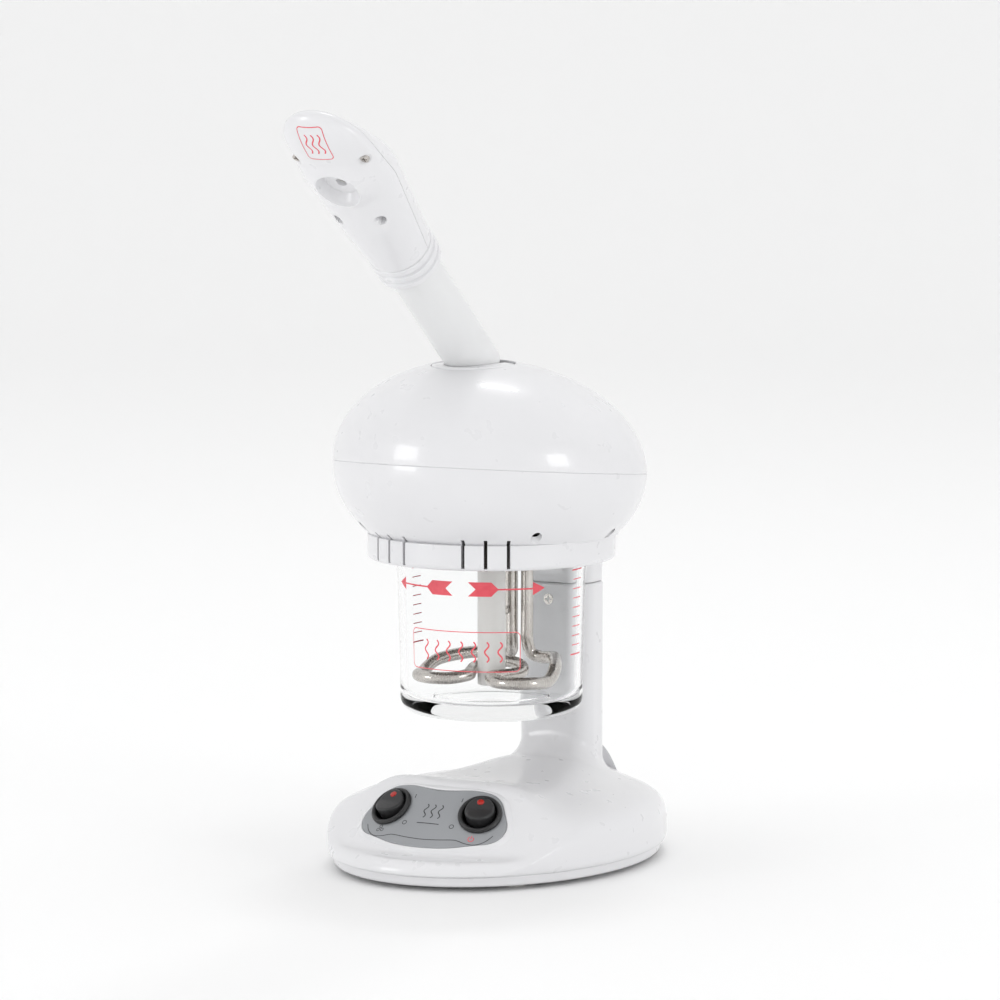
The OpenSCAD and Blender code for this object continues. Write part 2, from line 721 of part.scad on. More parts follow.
// Clear arm tube from the turret to the ribbed ring
module arm_tube() color("azure", 0.5) about_jar() at_arm() translate([0, 0, -3.5])
    difference() {
        cylinder(r = arm_d / 2, h = arm_length + 3.5);
        translate([0, 0, -eps]) cylinder(r = arm_d / 2 - 1.6, h = arm_length + 4);
    }

// ---------------------------------------------------------------- nozzle

// Frame of the nozzle: origin at the middle of the ribbed ring, on the arm's axis
module at_nozzle() at_arm() translate([0, 0, arm_length]) children();

// Ribbed grip ring at the foot of the nozzle, with two grooves
module nozzle_ring() color("white") about_jar() at_nozzle() rotate_extrude() difference() {
    translate([arm_d / 2 + ring_gap, -ring_h / 2]) square([ring_r - arm_d / 2 - ring_gap, ring_h]);
    for (groove = [-2.6, 2.6]) translate([ring_r + 0.6, groove]) circle(1.4);
    translate([arm_d / 2 + 2, ring_h / 2 - 4]) square([1, 5]);
}

// Solid of the whole nozzle head, smaller on every side by inset
module nozzle_form(inset) {
    neck_r = 16.8 - inset;
    hull() {
        translate([0, 0, ring_h / 2 + 0.2]) cylinder(r = neck_r, h = 1, $fn = 48);
        translate([0, 0, 38]) cylinder(r = neck_r + 0.6, h = 1, $fn = 48);
    }
    hull() {
        translate([0, 0, 38]) cylinder(r = neck_r + 0.6, h = 1, $fn = 48);
        translate([0, 2, 70]) scale([nozzle_half_w - inset, 14.5 - inset, 24 - inset]) sphere(1, $fn = 48);
        translate([0, -3.6, nozzle_length - 25])
            scale([nozzle_half_w - 3.5 - inset, 9 - inset, 25 - inset]) sphere(1, $fn = 48);
    }
}

// Everything in front of (side = -1) or behind (side = 1) the nozzle's seam
module nozzle_half(side) translate([0, side * (far / 2 + 0.08) - seam_front, 0]) cube(far, center = true);

// Front shell with the raised outlet cone, its cup and four screw recesses
module nozzle_front_shell() color("white") about_jar() at_nozzle() difference() {
    union() {
        intersection() {
            difference() {
                nozzle_form(0);
                nozzle_form(wall);
            }
            nozzle_half(-1);
        }
        translate([0, -8, cone_z]) rotate([90, 0, 0]) cylinder(r1 = 20.5, r2 = 12.6, h = 7.6);
        intersection() {
            for (spot = nozzle_screw_spots) translate([spot[0], 0, spot[1]])
                rotate([90, 0, 0]) cylinder(r = 4.4, h = 30);
            nozzle_form(wall / 2);
            nozzle_half(-1);
        }
    }
    translate([0, -10, cone_z]) rotate([90, 0, 0]) cylinder(r1 = 8.6, r2 = 11.4, h = 5.7);
    translate([0, 0, cone_z]) rotate([90, 0, 0]) cylinder(r = outlet_r, h = 30);
    translate([0, -2, cone_z]) rotate([90, 0, 0]) cylinder(r = 10, h = 8);
    for (spot = nozzle_screw_spots) translate([spot[0], 0, spot[1]]) rotate([90, 0, 0]) {
        cylinder(r = 1.3, h = 40);
        translate([0, 0, nozzle_seat_y]) cylinder(r = 2.6, h = 30);
    }
}

// Rear shell of the nozzle
module nozzle_rear_shell() color("white") about_jar() at_nozzle() difference() {
    union() {
        intersection() {
            difference() {
                nozzle_form(0);
                nozzle_form(wall);
            }
            nozzle_half(1);
        }
        intersection() {
            for (spot = nozzle_screw_spots) translate([spot[0], 0, spot[1]])
                rotate([-90, 0, 0]) cylinder(r = 3, h = 30);
            nozzle_form(wall / 2);
            nozzle_half(1);
        }
    }
    for (spot = nozzle_screw_spots) translate([spot[0], 6, spot[1]])
        rotate([90, 0, 0]) cylinder(r = 1.1, h = 20);
}

// Steam duct from the arm tube to the outlet
module nozzle_duct() color("gainsboro") about_jar() at_nozzle() difference() {
    union() {
        translate([0, 0, ring_h / 2 + 1]) cylinder(r = duct_r, h = cone_z - ring_h / 2);
        translate([0, -2.2, cone_z]) rotate([90, 0, 0]) cylinder(r = duct_r, h = 6);
        translate([0, 0, cone_z]) sphere(duct_r);
    }
    translate([0, 0, ring_h / 2]) cylinder(r = duct_r - 1.4, h = cone_z - ring_h / 2);
    translate([0, 0, cone_z]) sphere(duct_r - 1.4);
    translate([0, 0, cone_z]) rotate([90, 0, 0]) cylinder(r = outlet_r, h = 20);
}

// Four screws through the front shell into the rear shell
module nozzle_screws() color("silver") about_jar() at_nozzle()
    for (spot = nozzle_screw_spots) translate([spot[0], -nozzle_seat_y - eps, spot[1]])
        rotate([-90, 0, 0]) screw_up(1, 9, 2.3, 1.6);

base_plate();
rubber_feet();
base_screws();
base_cover();
control_panel();
power_switch_body();
power_rocker();
power_lens();
ozone_switch_body();
ozone_rocker();
ozone_lens();
cord_grommet();
terminal_block();
control_board();
wiring_harness();
column_screw();
head_lower_shell();
head_upper_shell();
head_screws();
jar_socket();
glass_jar();
jar_gasket();
heater_flange();
heater_tube();
thermowell();
centre_tube();
heater_nuts();
thermal_cutout();
steam_riser();
ozone_lamp();
lamp_ballast();
swivel_bush();
arm_turret();
turret_clip();
arm_tube();
nozzle_ring();
nozzle_front_shell();
nozzle_rear_shell();
nozzle_duct();
nozzle_screws();
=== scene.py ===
"""Facial steamer: the detailed visual model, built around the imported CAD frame.

Lengths in this file are millimetres, heights are above the surface that the feet stand
on, and Y is measured from the jar's axis; to_frame() turns them into the frame's metres.
"""
import json
import math

import bmesh
import bpy
import numpy as np
from mathutils import Matrix, Vector


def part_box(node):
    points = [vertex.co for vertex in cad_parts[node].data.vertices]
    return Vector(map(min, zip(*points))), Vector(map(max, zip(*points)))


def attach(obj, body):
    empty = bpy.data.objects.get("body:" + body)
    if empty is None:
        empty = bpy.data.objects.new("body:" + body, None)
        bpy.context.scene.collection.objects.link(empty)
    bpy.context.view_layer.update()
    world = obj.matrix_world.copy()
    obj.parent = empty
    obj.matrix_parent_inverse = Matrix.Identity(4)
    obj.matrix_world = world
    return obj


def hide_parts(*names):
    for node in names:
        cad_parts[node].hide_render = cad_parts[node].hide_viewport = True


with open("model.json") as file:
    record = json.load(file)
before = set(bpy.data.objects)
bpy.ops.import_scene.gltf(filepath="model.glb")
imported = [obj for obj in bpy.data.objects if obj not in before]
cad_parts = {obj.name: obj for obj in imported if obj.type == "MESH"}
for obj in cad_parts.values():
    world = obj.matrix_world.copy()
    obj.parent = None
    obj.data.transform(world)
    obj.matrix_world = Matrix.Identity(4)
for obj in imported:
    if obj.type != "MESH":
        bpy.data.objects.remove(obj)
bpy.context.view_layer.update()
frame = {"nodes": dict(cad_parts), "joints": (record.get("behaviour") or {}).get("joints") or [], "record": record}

MM = 0.001


# ------------------------------------------------------------------ places from the frame

def mm_box(node):
    """Lowest and highest corner of a CAD node, in millimetres of the frame."""
    low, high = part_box(node)
    return np.array(low) / MM, np.array(high) / MM


JAR_Y = float(sum(corner[1] for corner in mm_box("glass_jar")) / 2)


def jar_box(node):
    """Lowest and highest corner of a CAD node, with Y from the jar's axis."""
    low, high = mm_box(node)
    shift = np.array([0, JAR_Y, 0])
    return low - shift, high - shift


def to_frame(points):
    """Points about the jar's axis, in millimetres, as points of the frame in metres."""
    return (np.asarray(points, float).reshape(-1, 3) + [0, JAR_Y, 0]) * MM


# ------------------------------------------------------------------ mesh tools

def grid_faces(rows, cols, wrap=True, start=0):
    """Quads of a grid of vertices stored row by row."""
    i, j = np.meshgrid(np.arange(rows - 1), np.arange(cols if wrap else cols - 1), indexing="ij")
    a = start + i * cols + j
    b = start + i * cols + (j + 1) % cols
    return np.stack([a, b, b + cols, a + cols], -1).reshape(-1, 4).tolist()


def make_piece(name, points, faces, body, slot, material, replaces=(), flip=False):
    """A smooth mesh piece from points in millimetres, riding on a body."""
    mesh = bpy.data.meshes.new(name)
    if flip:
        faces = [tuple(reversed(face)) for face in faces]
    mesh.from_pydata(to_frame(points).tolist(), [], faces)
    shape = bmesh.new()
    shape.from_mesh(mesh)
    bmesh.ops.remove_doubles(shape, verts=shape.verts, dist=1e-6)
    bmesh.ops.dissolve_degenerate(shape, edges=shape.edges, dist=1e-7)
    bmesh.ops.recalc_face_normals(shape, faces=shape.faces)
    shape.to_mesh(mesh)
    shape.free()
    mesh.shade_smooth()
    piece = bpy.data.objects.new(name, mesh)
    bpy.context.scene.collection.objects.link(piece)
    mesh.materials.append(material)
    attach(piece, body)
    if replaces:
        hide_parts(*replaces)
    return piece


def grid_piece(name, grid, *args, wrap=True, **kwargs):
    """A piece from a grid of points (rows, columns, 3)."""
    grid = np.asarray(grid, float)
    return make_piece(name, grid.reshape(-1, 3), grid_faces(*grid.shape[:2], wrap), *args, **kwargs)


def rounded(corners, radii, steps=6, support=0.4):
    """Polyline through corners with an arc at each one, and extra points that hold flats flat."""
    path = []
    count = len(corners)
    for i, (corner, radius) in enumerate(zip(corners, radii)):
        corner = np.array(corner, float)
        if radius <= 0 or i in (0, count - 1):
            path.append(corner)
            continue
        before = np.array(corners[i - 1], float) - corner
        after = np.array(corners[i + 1], float) - corner
        before_len, after_len = np.linalg.norm(before), np.linalg.norm(after)
        before, after = before / before_len, after / after_len
        half = math.acos(float(np.clip(before @ after, -1, 1))) / 2
        reach = min(radius / math.tan(half), before_len * 0.49, after_len * 0.49)
        radius = reach * math.tan(half)
        centre = corner + (before + after) / np.linalg.norm(before + after) * radius / math.sin(half)
        start, end = corner + before * reach, corner + after * reach
        path.append(start + before * min(support, before_len * 0.01 + 0.1))
        v0, v1 = start - centre, end - centre
        turn = math.pi - 2 * half
        for k in range(steps + 1):
            t = k / steps
            path.append(centre + (math.sin((1 - t) * turn) * v0 + math.sin(t * turn) * v1) / math.sin(turn))
        path.append(end + after * min(support, after_len * 0.01 + 0.1))
    return np.array(path)


def lathe_grid(profile, segments=128):
    """Grid of a profile of (radius, height) turned about Z."""
    profile = np.asarray(profile, float)
    turn = np.linspace(0, 2 * math.pi, segments, endpoint=False)
    return np.stack([profile[:, :1] * np.sin(turn), -profile[:, :1] * np.cos(turn),
                     np.repeat(profile[:, 1:2], segments, 1)], -1)


def placed(grid, matrix):
    """A grid of points moved by a 4 x 4 matrix."""
    grid = np.asarray(grid, float)
    m = np.array(matrix)
    return grid @ m[:3, :3].T + m[:3, 3]


def apply_modifiers(piece):
    """Makes the piece's modifiers part of its mesh."""
    graph = bpy.context.evaluated_depsgraph_get()
    mesh = bpy.data.meshes.new_from_object(piece.evaluated_get(graph), depsgraph=graph)
    piece.modifiers.clear()
    piece.data = mesh


def cut_away(piece, cutters):
    """Cuts each cutter, given as (points, faces) in millimetres, out of a closed piece."""
    points, faces = [], []
    for cut_points, cut_faces in cutters:
        faces += [tuple(len(points) + v for v in face) for face in cut_faces]
        points += [tuple(p) for p in cut_points]
    mesh = bpy.data.meshes.new("cutter")
    mesh.from_pydata(to_frame(points).tolist(), [], faces)
    shape = bmesh.new()
    shape.from_mesh(mesh)
    bmesh.ops.remove_doubles(shape, verts=shape.verts, dist=1e-6)
    bmesh.ops.recalc_face_normals(shape, faces=shape.faces)
    shape.to_mesh(mesh)
    shape.free()
    cutter = bpy.data.objects.new("cutter", mesh)
    bpy.context.scene.collection.objects.link(cutter)
    boolean = piece.modifiers.new("cut", "BOOLEAN")
    boolean.object = cutter
    boolean.operation = "DIFFERENCE"
    boolean.solver = "EXACT"
    apply_modifiers(piece)
    bpy.data.objects.remove(cutter)
    piece.data.set_sharp_from_angle(angle=math.radians(38))


def box_cutter(size, matrix):
    """Points and faces of a box of that size, centred, moved by a matrix."""
    half = np.array(size) / 2
    corners = np.array([[x, y, z] for x in (-1, 1) for y in (-1, 1) for z in (-1, 1)]) * half
    faces = [(0, 1, 3, 2), (4, 6, 7, 5), (0, 4, 5, 1), (2, 3, 7, 6), (0, 2, 6, 4), (1, 5, 7, 3)]
    return placed(corners, matrix), faces


def round_cutter(radius, low, high, matrix, segments=48):
    """Points and faces of a cylinder from low to high along its own Z, moved by a matrix."""
    grid = lathe_grid([(0, low), (radius, low), (radius, high), (0, high)], segments)
    return placed(grid.reshape(-1, 3), matrix), grid_faces(4, segments)


def smooth_min(a, b, blend):
    """The smaller of a and b, with a fillet of about that size where they meet."""
    share = np.clip(0.5 + 0.5 * (b - a) / blend, 0, 1)
    return b + (a - b) * share - blend * share * (1 - share)


def smooth_max(a, b, blend):
    """The larger of a and b, with a fillet of about that size where they meet."""
    return -smooth_min(-a, -b, blend)


def curve_through(knots):
    """A smooth function through (x, y) knots, level outside them."""
    xs, ys = np.array(knots, float).T
    slopes = np.gradient(ys, xs)
    slopes[0] = slopes[-1] = 0

    def value(x):
        x = np.clip(x, xs[0], xs[-1])
        i = np.clip(np.searchsorted(xs, x, "right") - 1, 0, len(xs) - 2)
        width = xs[i + 1] - xs[i]
        t = (x - xs[i]) / width
        return ((2 * t ** 3 - 3 * t ** 2 + 1) * ys[i] + (t ** 3 - 2 * t ** 2 + t) * width * slopes[i]
                + (3 * t ** 2 - 2 * t ** 3) * ys[i + 1] + (t ** 3 - t ** 2) * width * slopes[i + 1])
    return value


def outer_hull(points):
    """Corners of the convex outline of flat points, anticlockwise."""
    points = sorted({(round(float(x), 6), round(float(y), 6)) for x, y in points})

    def half(ordered):
        chain = []
        for p in ordered:
            while len(chain) > 1 and ((chain[-1][0] - chain[-2][0]) * (p[1] - chain[-2][1])
                                      - (chain[-1][1] - chain[-2][1]) * (p[0] - chain[-2][0])) <= 0:
                chain.pop()
            chain.append(p)
        return chain[:-1]
    return np.array(half(points) + half(points[::-1]))


def ellipse_points(cx, cy, rx, ry, count=180):
    """Points of an ellipse in a plane."""
    turn = np.linspace(0, 2 * math.pi, count, endpoint=False)
    return np.stack([cx + rx * np.cos(turn), cy + ry * np.sin(turn)], -1)


# ------------------------------------------------------------------ materials

def new_material(name):
    """An empty node material with its shader and object coordinates."""
    material = bpy.data.materials.new(name)
    material.use_nodes = True
    nodes, links = material.node_tree.nodes, material.node_tree.links
    shader = nodes["Principled BSDF"]
    coordinates = nodes.new("ShaderNodeTexCoord")
    return material, nodes, links, shader, coordinates.outputs["Object"]


def noise(nodes, links, vector, scale, detail=3, stretch=(1, 1, 1)):
    """Noise over object coordinates; scale counts per metre."""
    mapping = nodes.new("ShaderNodeMapping")
    mapping.inputs["Scale"].default_value = stretch
    links.new(vector, mapping.inputs["Vector"])
    texture = nodes.new("ShaderNodeTexNoise")
    texture.inputs["Scale"].default_value = scale
    texture.inputs["Detail"].default_value = detail
    links.new(mapping.outputs["Vector"], texture.inputs["Vector"])
    return texture.outputs["Fac"]


def ramp(nodes, links, fac, low, high, start=0.3, end=0.7):
    """Two colours mixed by fac between start and end."""
    mix = nodes.new("ShaderNodeValToRGB")
    mix.color_ramp.elements[0].position = start
    mix.color_ramp.elements[1].position = end
    mix.color_ramp.elements[0].color = (*low, 1)
    mix.color_ramp.elements[1].color = (*high, 1)
    links.new(fac, mix.inputs["Fac"])
    return mix.outputs["Color"]


def span(nodes, links, fac, low, high):
    """fac rescaled from 0.3 to 0.7 into low to high."""
    scaled = nodes.new("ShaderNodeMapRange")
    for key, number in (("From Min", 0.3), ("From Max", 0.7), ("To Min", low), ("To Max", high)):
        scaled.inputs[key].default_value = number
    links.new(fac, scaled.inputs["Value"])
    return scaled.outputs["Result"]


def add_bump(nodes, links, shader, height, strength, distance):
    """Fine relief; distance in metres."""
    bump = nodes.new("ShaderNodeBump")
    bump.inputs["Strength"].default_value = strength
    bump.inputs["Distance"].default_value = distance
    links.new(height, bump.inputs["Height"])
    links.new(bump.outputs["Normal"], shader.inputs["Normal"])


def surface(name, low, high, rough, tone_scale=9, grain=700, relief=0.00003, strength=0.3,
            stretch=(1, 1, 1), **sockets):
    """A material whose tone, roughness and relief vary finely; other sockets are set directly."""
    material, nodes, links, shader, vector = new_material(name)
    tone = noise(nodes, links, vector, tone_scale, 4)
    fine = noise(nodes, links, vector, grain, 2, stretch)
    links.new(ramp(nodes, links, tone, low, high), shader.inputs["Base Color"])
    links.new(span(nodes, links, fine, *rough), shader.inputs["Roughness"])
    if relief:
        add_bump(nodes, links, shader, fine, strength, relief)
    for key, number in sockets.items():
        shader.inputs[key.replace("_", " ")].default_value = number
    return material


WHITE = surface("white_casing", (0.735, 0.735, 0.752), (0.765, 0.765, 0.78), (0.27, 0.32),
                grain=110, relief=0, Coat_Weight=0.5, Coat_Roughness=0.06)
SILVER = surface("silver_panel", (0.30, 0.31, 0.325), (0.34, 0.35, 0.365), (0.34, 0.44),
                 grain=2600, Metallic=0.35)
BLACK = surface("black_plastic", (0.012, 0.012, 0.013), (0.02, 0.02, 0.021), (0.36, 0.48),
                grain=1500, relief=0.00003)
RED_LENS = surface("red_lens", (0.45, 0.015, 0.01), (0.62, 0.03, 0.02), (0.08, 0.2),
                   tone_scale=900, grain=1200, Transmission_Weight=0.25)
RUBBER = surface("rubber", (0.62, 0.61, 0.59), (0.7, 0.69, 0.67), (0.55, 0.7), grain=1800, relief=0.00008)
STEEL = surface("steel", (0.50, 0.47, 0.44), (0.62, 0.59, 0.56), (0.2, 0.3), tone_scale=60, grain=900,
                relief=0, stretch=(1, 1, 0.12), Metallic=1.0)
BRASS = surface("brass", (0.60, 0.42, 0.18), (0.72, 0.52, 0.24), (0.25, 0.4), Metallic=1.0)
FROSTED = surface("frosted_tube", (0.93, 0.935, 0.94), (0.96, 0.965, 0.97), (0.28, 0.36), grain=300,
                  relief=0, Transmission_Weight=0.12, IOR=1.36, Alpha=0.76)
SILICONE = surface("silicone", (0.78, 0.74, 0.72), (0.84, 0.8, 0.78), (0.5, 0.6))
NATURAL = surface("natural_plastic", (0.76, 0.75, 0.73), (0.82, 0.81, 0.79), (0.35, 0.45), tone_scale=25)
# Painted shade: the jar socket is made dark brown-grey so that the vent slots in the collar show dark, as shade
# inside them would make them.
SOCKET_PAINTED_SHADE = surface("phenolic", (0.035, 0.026, 0.02), (0.06, 0.045, 0.035), (0.4, 0.55), tone_scale=120)
BOARD = surface("circuit_board", (0.02, 0.1, 0.045), (0.03, 0.14, 0.06), (0.3, 0.45), tone_scale=200)
DARK = surface("dark_fittings", (0.02, 0.02, 0.022), (0.035, 0.035, 0.04), (0.45, 0.6))
SLEEVE = surface("wire_sleeve", (0.06, 0.06, 0.065), (0.1, 0.1, 0.11), (0.5, 0.7), grain=2500, relief=0.0001)
PRINT = surface("red_print", (0.74, 0.07, 0.10), (0.80, 0.10, 0.13), (0.3, 0.4), tone_scale=400)
DARK_PRINT = surface("dark_print", (0.03, 0.03, 0.035), (0.05, 0.05, 0.055), (0.35, 0.45))


def glass(name, rough, clear, ior):
    """Glass with a faint waviness: clear is its transmission."""
    material, nodes, links, shader, vector = new_material(name)
    wave = noise(nodes, links, vector, 45, 2)
    links.new(span(nodes, links, wave, *rough), shader.inputs["Roughness"])
    links.new(ramp(nodes, links, wave, (0.985, 0.99, 0.99), (0.995, 0.998, 0.998)),
              shader.inputs["Base Color"])
    add_bump(nodes, links, shader, wave, 0.1, 0.0001)
    shader.inputs["Transmission Weight"].default_value = clear
    shader.inputs["IOR"].default_value = ior
    return material


GLASS = glass("jar_glass", (0.0, 0.012), 1.0, 1.1)
LAMP_GLASS = glass("lamp_glass", (0.05, 0.1), 0.8, 1.4)

SLOT_MATERIALS = {
    # The jar socket's dark colour is painted shade for the collar's vent slots.
    "phenolic": SOCKET_PAINTED_SHADE,
    "white_casing": WHITE, "grey_panel": SILVER, "black_plastic": BLACK, "red_lens": RED_LENS,
    "rubber": RUBBER, "steel": STEEL, "brass": BRASS, "jar_glass": GLASS, "clear_tube": FROSTED,
    "silicone": SILICONE, "natural_plastic": NATURAL, "circuit_board": BOARD, "dark_fittings": DARK,
    "wire_sleeve": SLEEVE, "lamp_glass": LAMP_GLASS,
}


def finish_cad_nodes():
    """Gives every CAD node the material of its slot."""
    for part in frame["record"]["subparts"]:
        node = frame["nodes"][part["node"]]
        node.data.materials.clear()
        node.data.materials.append(SLOT_MATERIALS[part["material_slot"]])
        node.data.set_sharp_from_angle(angle=math.radians(35))


finish_cad_nodes()


# ------------------------------------------------------------------ base cover

COVER_LOW, COVER_HIGH = jar_box("base_cover")
PLATE_LOW, PLATE_HIGH = jar_box("base_plate")
HALF_W = (COVER_HIGH[0] - COVER_LOW[0]) / 2
HALF_L = (COVER_HIGH[1] - COVER_LOW[1]) / 2
OVAL_Y = (COVER_HIGH[1] + COVER_LOW[1]) / 2
SEAM_Z = COVER_LOW[2]
COLUMN_TOP = COVER_HIGH[2]
COLUMN_SIZE = (43.0, 27.0, 10.0)        # width, depth and corner radius
COLUMN_Y = 79.0
DOME_Z, DOME_FOOT_Z, SQUARENESS = 38.0, 12.0, 4.2
LEDGE_Z, ROLL = 15.5, 6.0
CONE_Y, CONE_R, CONE_Z = 36.4, 99.0, 34.3   # the console face is part of a 45 degree cone
SWITCH_X, SWITCH_Y = 25.7, -59.2

crest_height = curve_through([(-60, 49.3), (-42, 49.3), (-25, 46.6), (0, 44.8), (30, 45.3), (52, 47.5),
                              (75, 46), (95, 38), (110, 36)])
crest_half_width = curve_through([(-45, 46), (0, 40), (35, 33), (70, 25), (100, 20)])


def oval_share(x, y):
    """0 at the middle of the oval, 1 at its edge."""
    return np.hypot(x / HALF_W, (y - OVAL_Y) / HALF_L)


def cover_height(x, y):
    """Height of the base cover without the column: dome, hump, console cone and ledge."""
    share = np.minimum(oval_share(x, y), 1)
    dome = DOME_FOOT_Z + (DOME_Z - DOME_FOOT_Z) * (1 - share ** SQUARENESS) ** (1 / SQUARENESS)
    side = 0.5 * (1 - np.tanh((np.abs(x) - crest_half_width(y)) / 11))
    hump = dome + np.maximum(crest_height(y) - dome, 0) * side
    cone = CONE_Z + CONE_R - np.hypot(x, y - CONE_Y)
    top = smooth_min(cone, hump, 3.5)
    edge = np.clip(share * HALF_L - (HALF_L - ROLL), 0, ROLL)
    ledge = LEDGE_Z - ROLL + np.sqrt(ROLL ** 2 - edge ** 2)
    return smooth_max(top, ledge, 3.0)


def column_distance(x, y, inset=0.0):
    """Signed distance from the column's outline."""
    width, depth, corner = COLUMN_SIZE
    qx = np.abs(x) - (width / 2 - corner)
    qy = np.abs(y - COLUMN_Y) - (depth / 2 - corner)
    outside = np.hypot(np.maximum(qx, 0), np.maximum(qy, 0))
    return outside + np.minimum(np.maximum(qx, qy), 0) - corner + inset


def column_ray(turn, inset=0.0):
    """Points of the column's outline and their outward directions, by direction from its middle."""
    direction = np.stack([np.sin(turn), -np.cos(turn)], -1)
    near, far = np.zeros_like(turn), np.full_like(turn, 60.0)
    for _ in range(40):
        middle = (near + far) / 2
        inside = column_distance(direction[:, 0] * middle, COLUMN_Y + direction[:, 1] * middle, inset) < 0
        near, far = np.where(inside, middle, near), np.where(inside, far, middle)
    point = direction * near[:, None] + [0, COLUMN_Y]
    width, depth, corner = COLUMN_SIZE
    half_x, half_y = width / 2 - corner, depth / 2 - corner
    core = np.stack([np.clip(point[:, 0], -half_x, half_x),
                     COLUMN_Y + np.clip(point[:, 1] - COLUMN_Y, -half_y, half_y)], -1)
    outward = point - core
    return point, outward / np.linalg.norm(outward, axis=1, keepdims=True)


def oval_ray(turn):
    """Points where directions from the column's middle meet the oval edge."""
    dx, dy = np.sin(turn) / HALF_W, -np.cos(turn) / HALF_L
    oy = (COLUMN_Y - OVAL_Y) / HALF_L
    a, b, c = dx ** 2 + dy ** 2, 2 * oy * dy, oy ** 2 - 1
    reach = (-b + np.sqrt(b * b - 4 * a * c)) / (2 * a)
    return np.stack([np.sin(turn) * reach, COLUMN_Y - np.cos(turn) * reach], -1)


def make_base_cover():
    """One skin: down the column, through its fillet, over the cover and round its rim."""
    columns, main_rows, edge_rows, fillet_rows = 520, 190, 20, 14
    u = np.linspace(-math.pi, math.pi, columns, endpoint=False)
    turn = u - 0.5 * np.sin(u)
    outline, outward = column_ray(turn)
    rim = oval_ray(turn)
    fillet = 8 + 5 * np.cos(turn)
    rows = []

    def add(plan, z):
        rows.append(np.column_stack([plan, np.broadcast_to(z, len(plan))]))

    top = rounded([(-6, COLUMN_TOP), (0, COLUMN_TOP), (0, COLUMN_TOP - 20)], [0, 1.4, 0])
    add(outline - outward * 6, COLUMN_TOP - 6)
    for offset, z in top[:-1]:
        add(outline + outward * offset, z)
    foot_z = cover_height(outline[:, 0], outline[:, 1]) + fillet
    for share in np.linspace(0.04, 1, 12)[:-1]:
        add(outline, COLUMN_TOP - 3 + (foot_z - COLUMN_TOP + 3) * share)
    for arc in np.linspace(0, math.pi / 2, fillet_rows):
        out = fillet * (1 - math.cos(arc))
        plan = outline + outward * out[:, None]
        add(plan, cover_height(plan[:, 0], plan[:, 1]) + fillet * (1 - math.sin(arc)))
    start = outline + outward * fillet[:, None]
    steps = np.concatenate([np.linspace(0, 0.96, main_rows)[1:],
                            1 - 0.04 * (1 - np.linspace(0, 1, edge_rows + 1)[1:]) ** 2.4])
    for share in steps:
        plan = start + (rim - start) * share
        add(plan, cover_height(plan[:, 0], plan[:, 1]))
    edge_z = cover_height(rim[:, 0], rim[:, 1])
    skirt = [(1.0, 0.25), (0.9985, 0.5), (0.995, 0.75), (0.989, 0.92), (0.984, 1.0), (0.97, 1.0),
             (0.955, 0.9), (0.955, -0.5)]
    for scale, drop in skirt:
        plan = np.column_stack([rim[:, 0] * scale, OVAL_Y + (rim[:, 1] - OVAL_Y) * scale])
        add(plan, edge_z + (SEAM_Z - edge_z) * drop)
    return grid_piece("base_cover_skin", rows, "housing", "white_casing", WHITE, replaces=["base_cover"])


def make_base_plate():
    """Shallow tray under the cover, with a rounded lower edge."""
    share = (PLATE_HIGH[1] - PLATE_LOW[1]) / 2
    low, high = PLATE_LOW[2], PLATE_HIGH[2]
    profile = rounded([(0, low), (share - 1.2, low), (share, high), (share - 3, high),
                       (share - 3.2, low + 2.6), (0, low + 2.6)], [0, 2.2, 0.5, 0.5, 1.0, 0])
    grid = lathe_grid(profile, 256)
    grid[..., 0] *= (PLATE_HIGH[0] - PLATE_LOW[0]) / 2 / share
    grid[..., 1] += OVAL_Y
    return grid_piece("base_tray", grid, "housing", "white_casing", WHITE, replaces=["base_plate"])


def make_feet():
    """Four domed rubber feet with a soft edge and a small centre recess."""
    low, high = jar_box("rubber_feet")
    radius = 7.0
    profile = rounded([(0, 0.5), (2.2, 0.5), (2.6, 0), (radius - 1.0, 0), (radius, 1.2), (radius, high[2]),
                       (0, high[2])], [0, 0.2, 0.2, 0.9, 0.6, 0.3, 0])
    grids = []
    for x in (low[0] + radius, high[0] - radius):
        for y in (low[1] + radius, high[1] - radius):
            grids.append(lathe_grid(profile, 64) + [x, y, 0])
    points = np.concatenate([g.reshape(-1, 3) for g in grids])
    count = grids[0].shape[0] * grids[0].shape[1]
    faces = sum((grid_faces(*grids[0].shape[:2], start=i * count) for i in range(4)), [])
    return make_piece("rubber_foot_set", points, faces, "housing", "rubber", RUBBER, replaces=["rubber_feet"])


cover_skin = make_base_cover()
make_base_plate()
make_feet()


# ------------------------------------------------------------------ console panel

def on_console(u, v, lift):
    """Points over the console face: u across and v up the slope, lifted off it by lift."""
    s = math.sqrt(0.5)
    u, v = np.asarray(u, float), np.asarray(v, float)
    y0, z0 = SWITCH_Y + v * s, CONE_Z + v * s
    near, far = np.full_like(u, -25.0), np.full_like(u, 25.0)
    for _ in range(40):
        t = (near + far) / 2
        above = z0 + t * s - CONE_Z - CONE_R - lift * math.sqrt(2) + np.hypot(u, y0 - t * s - CONE_Y) > 0
        near, far = np.where(above, near, t), np.where(above, t, far)
    return np.stack([u, y0 - near * s, z0 + near * s], -1)


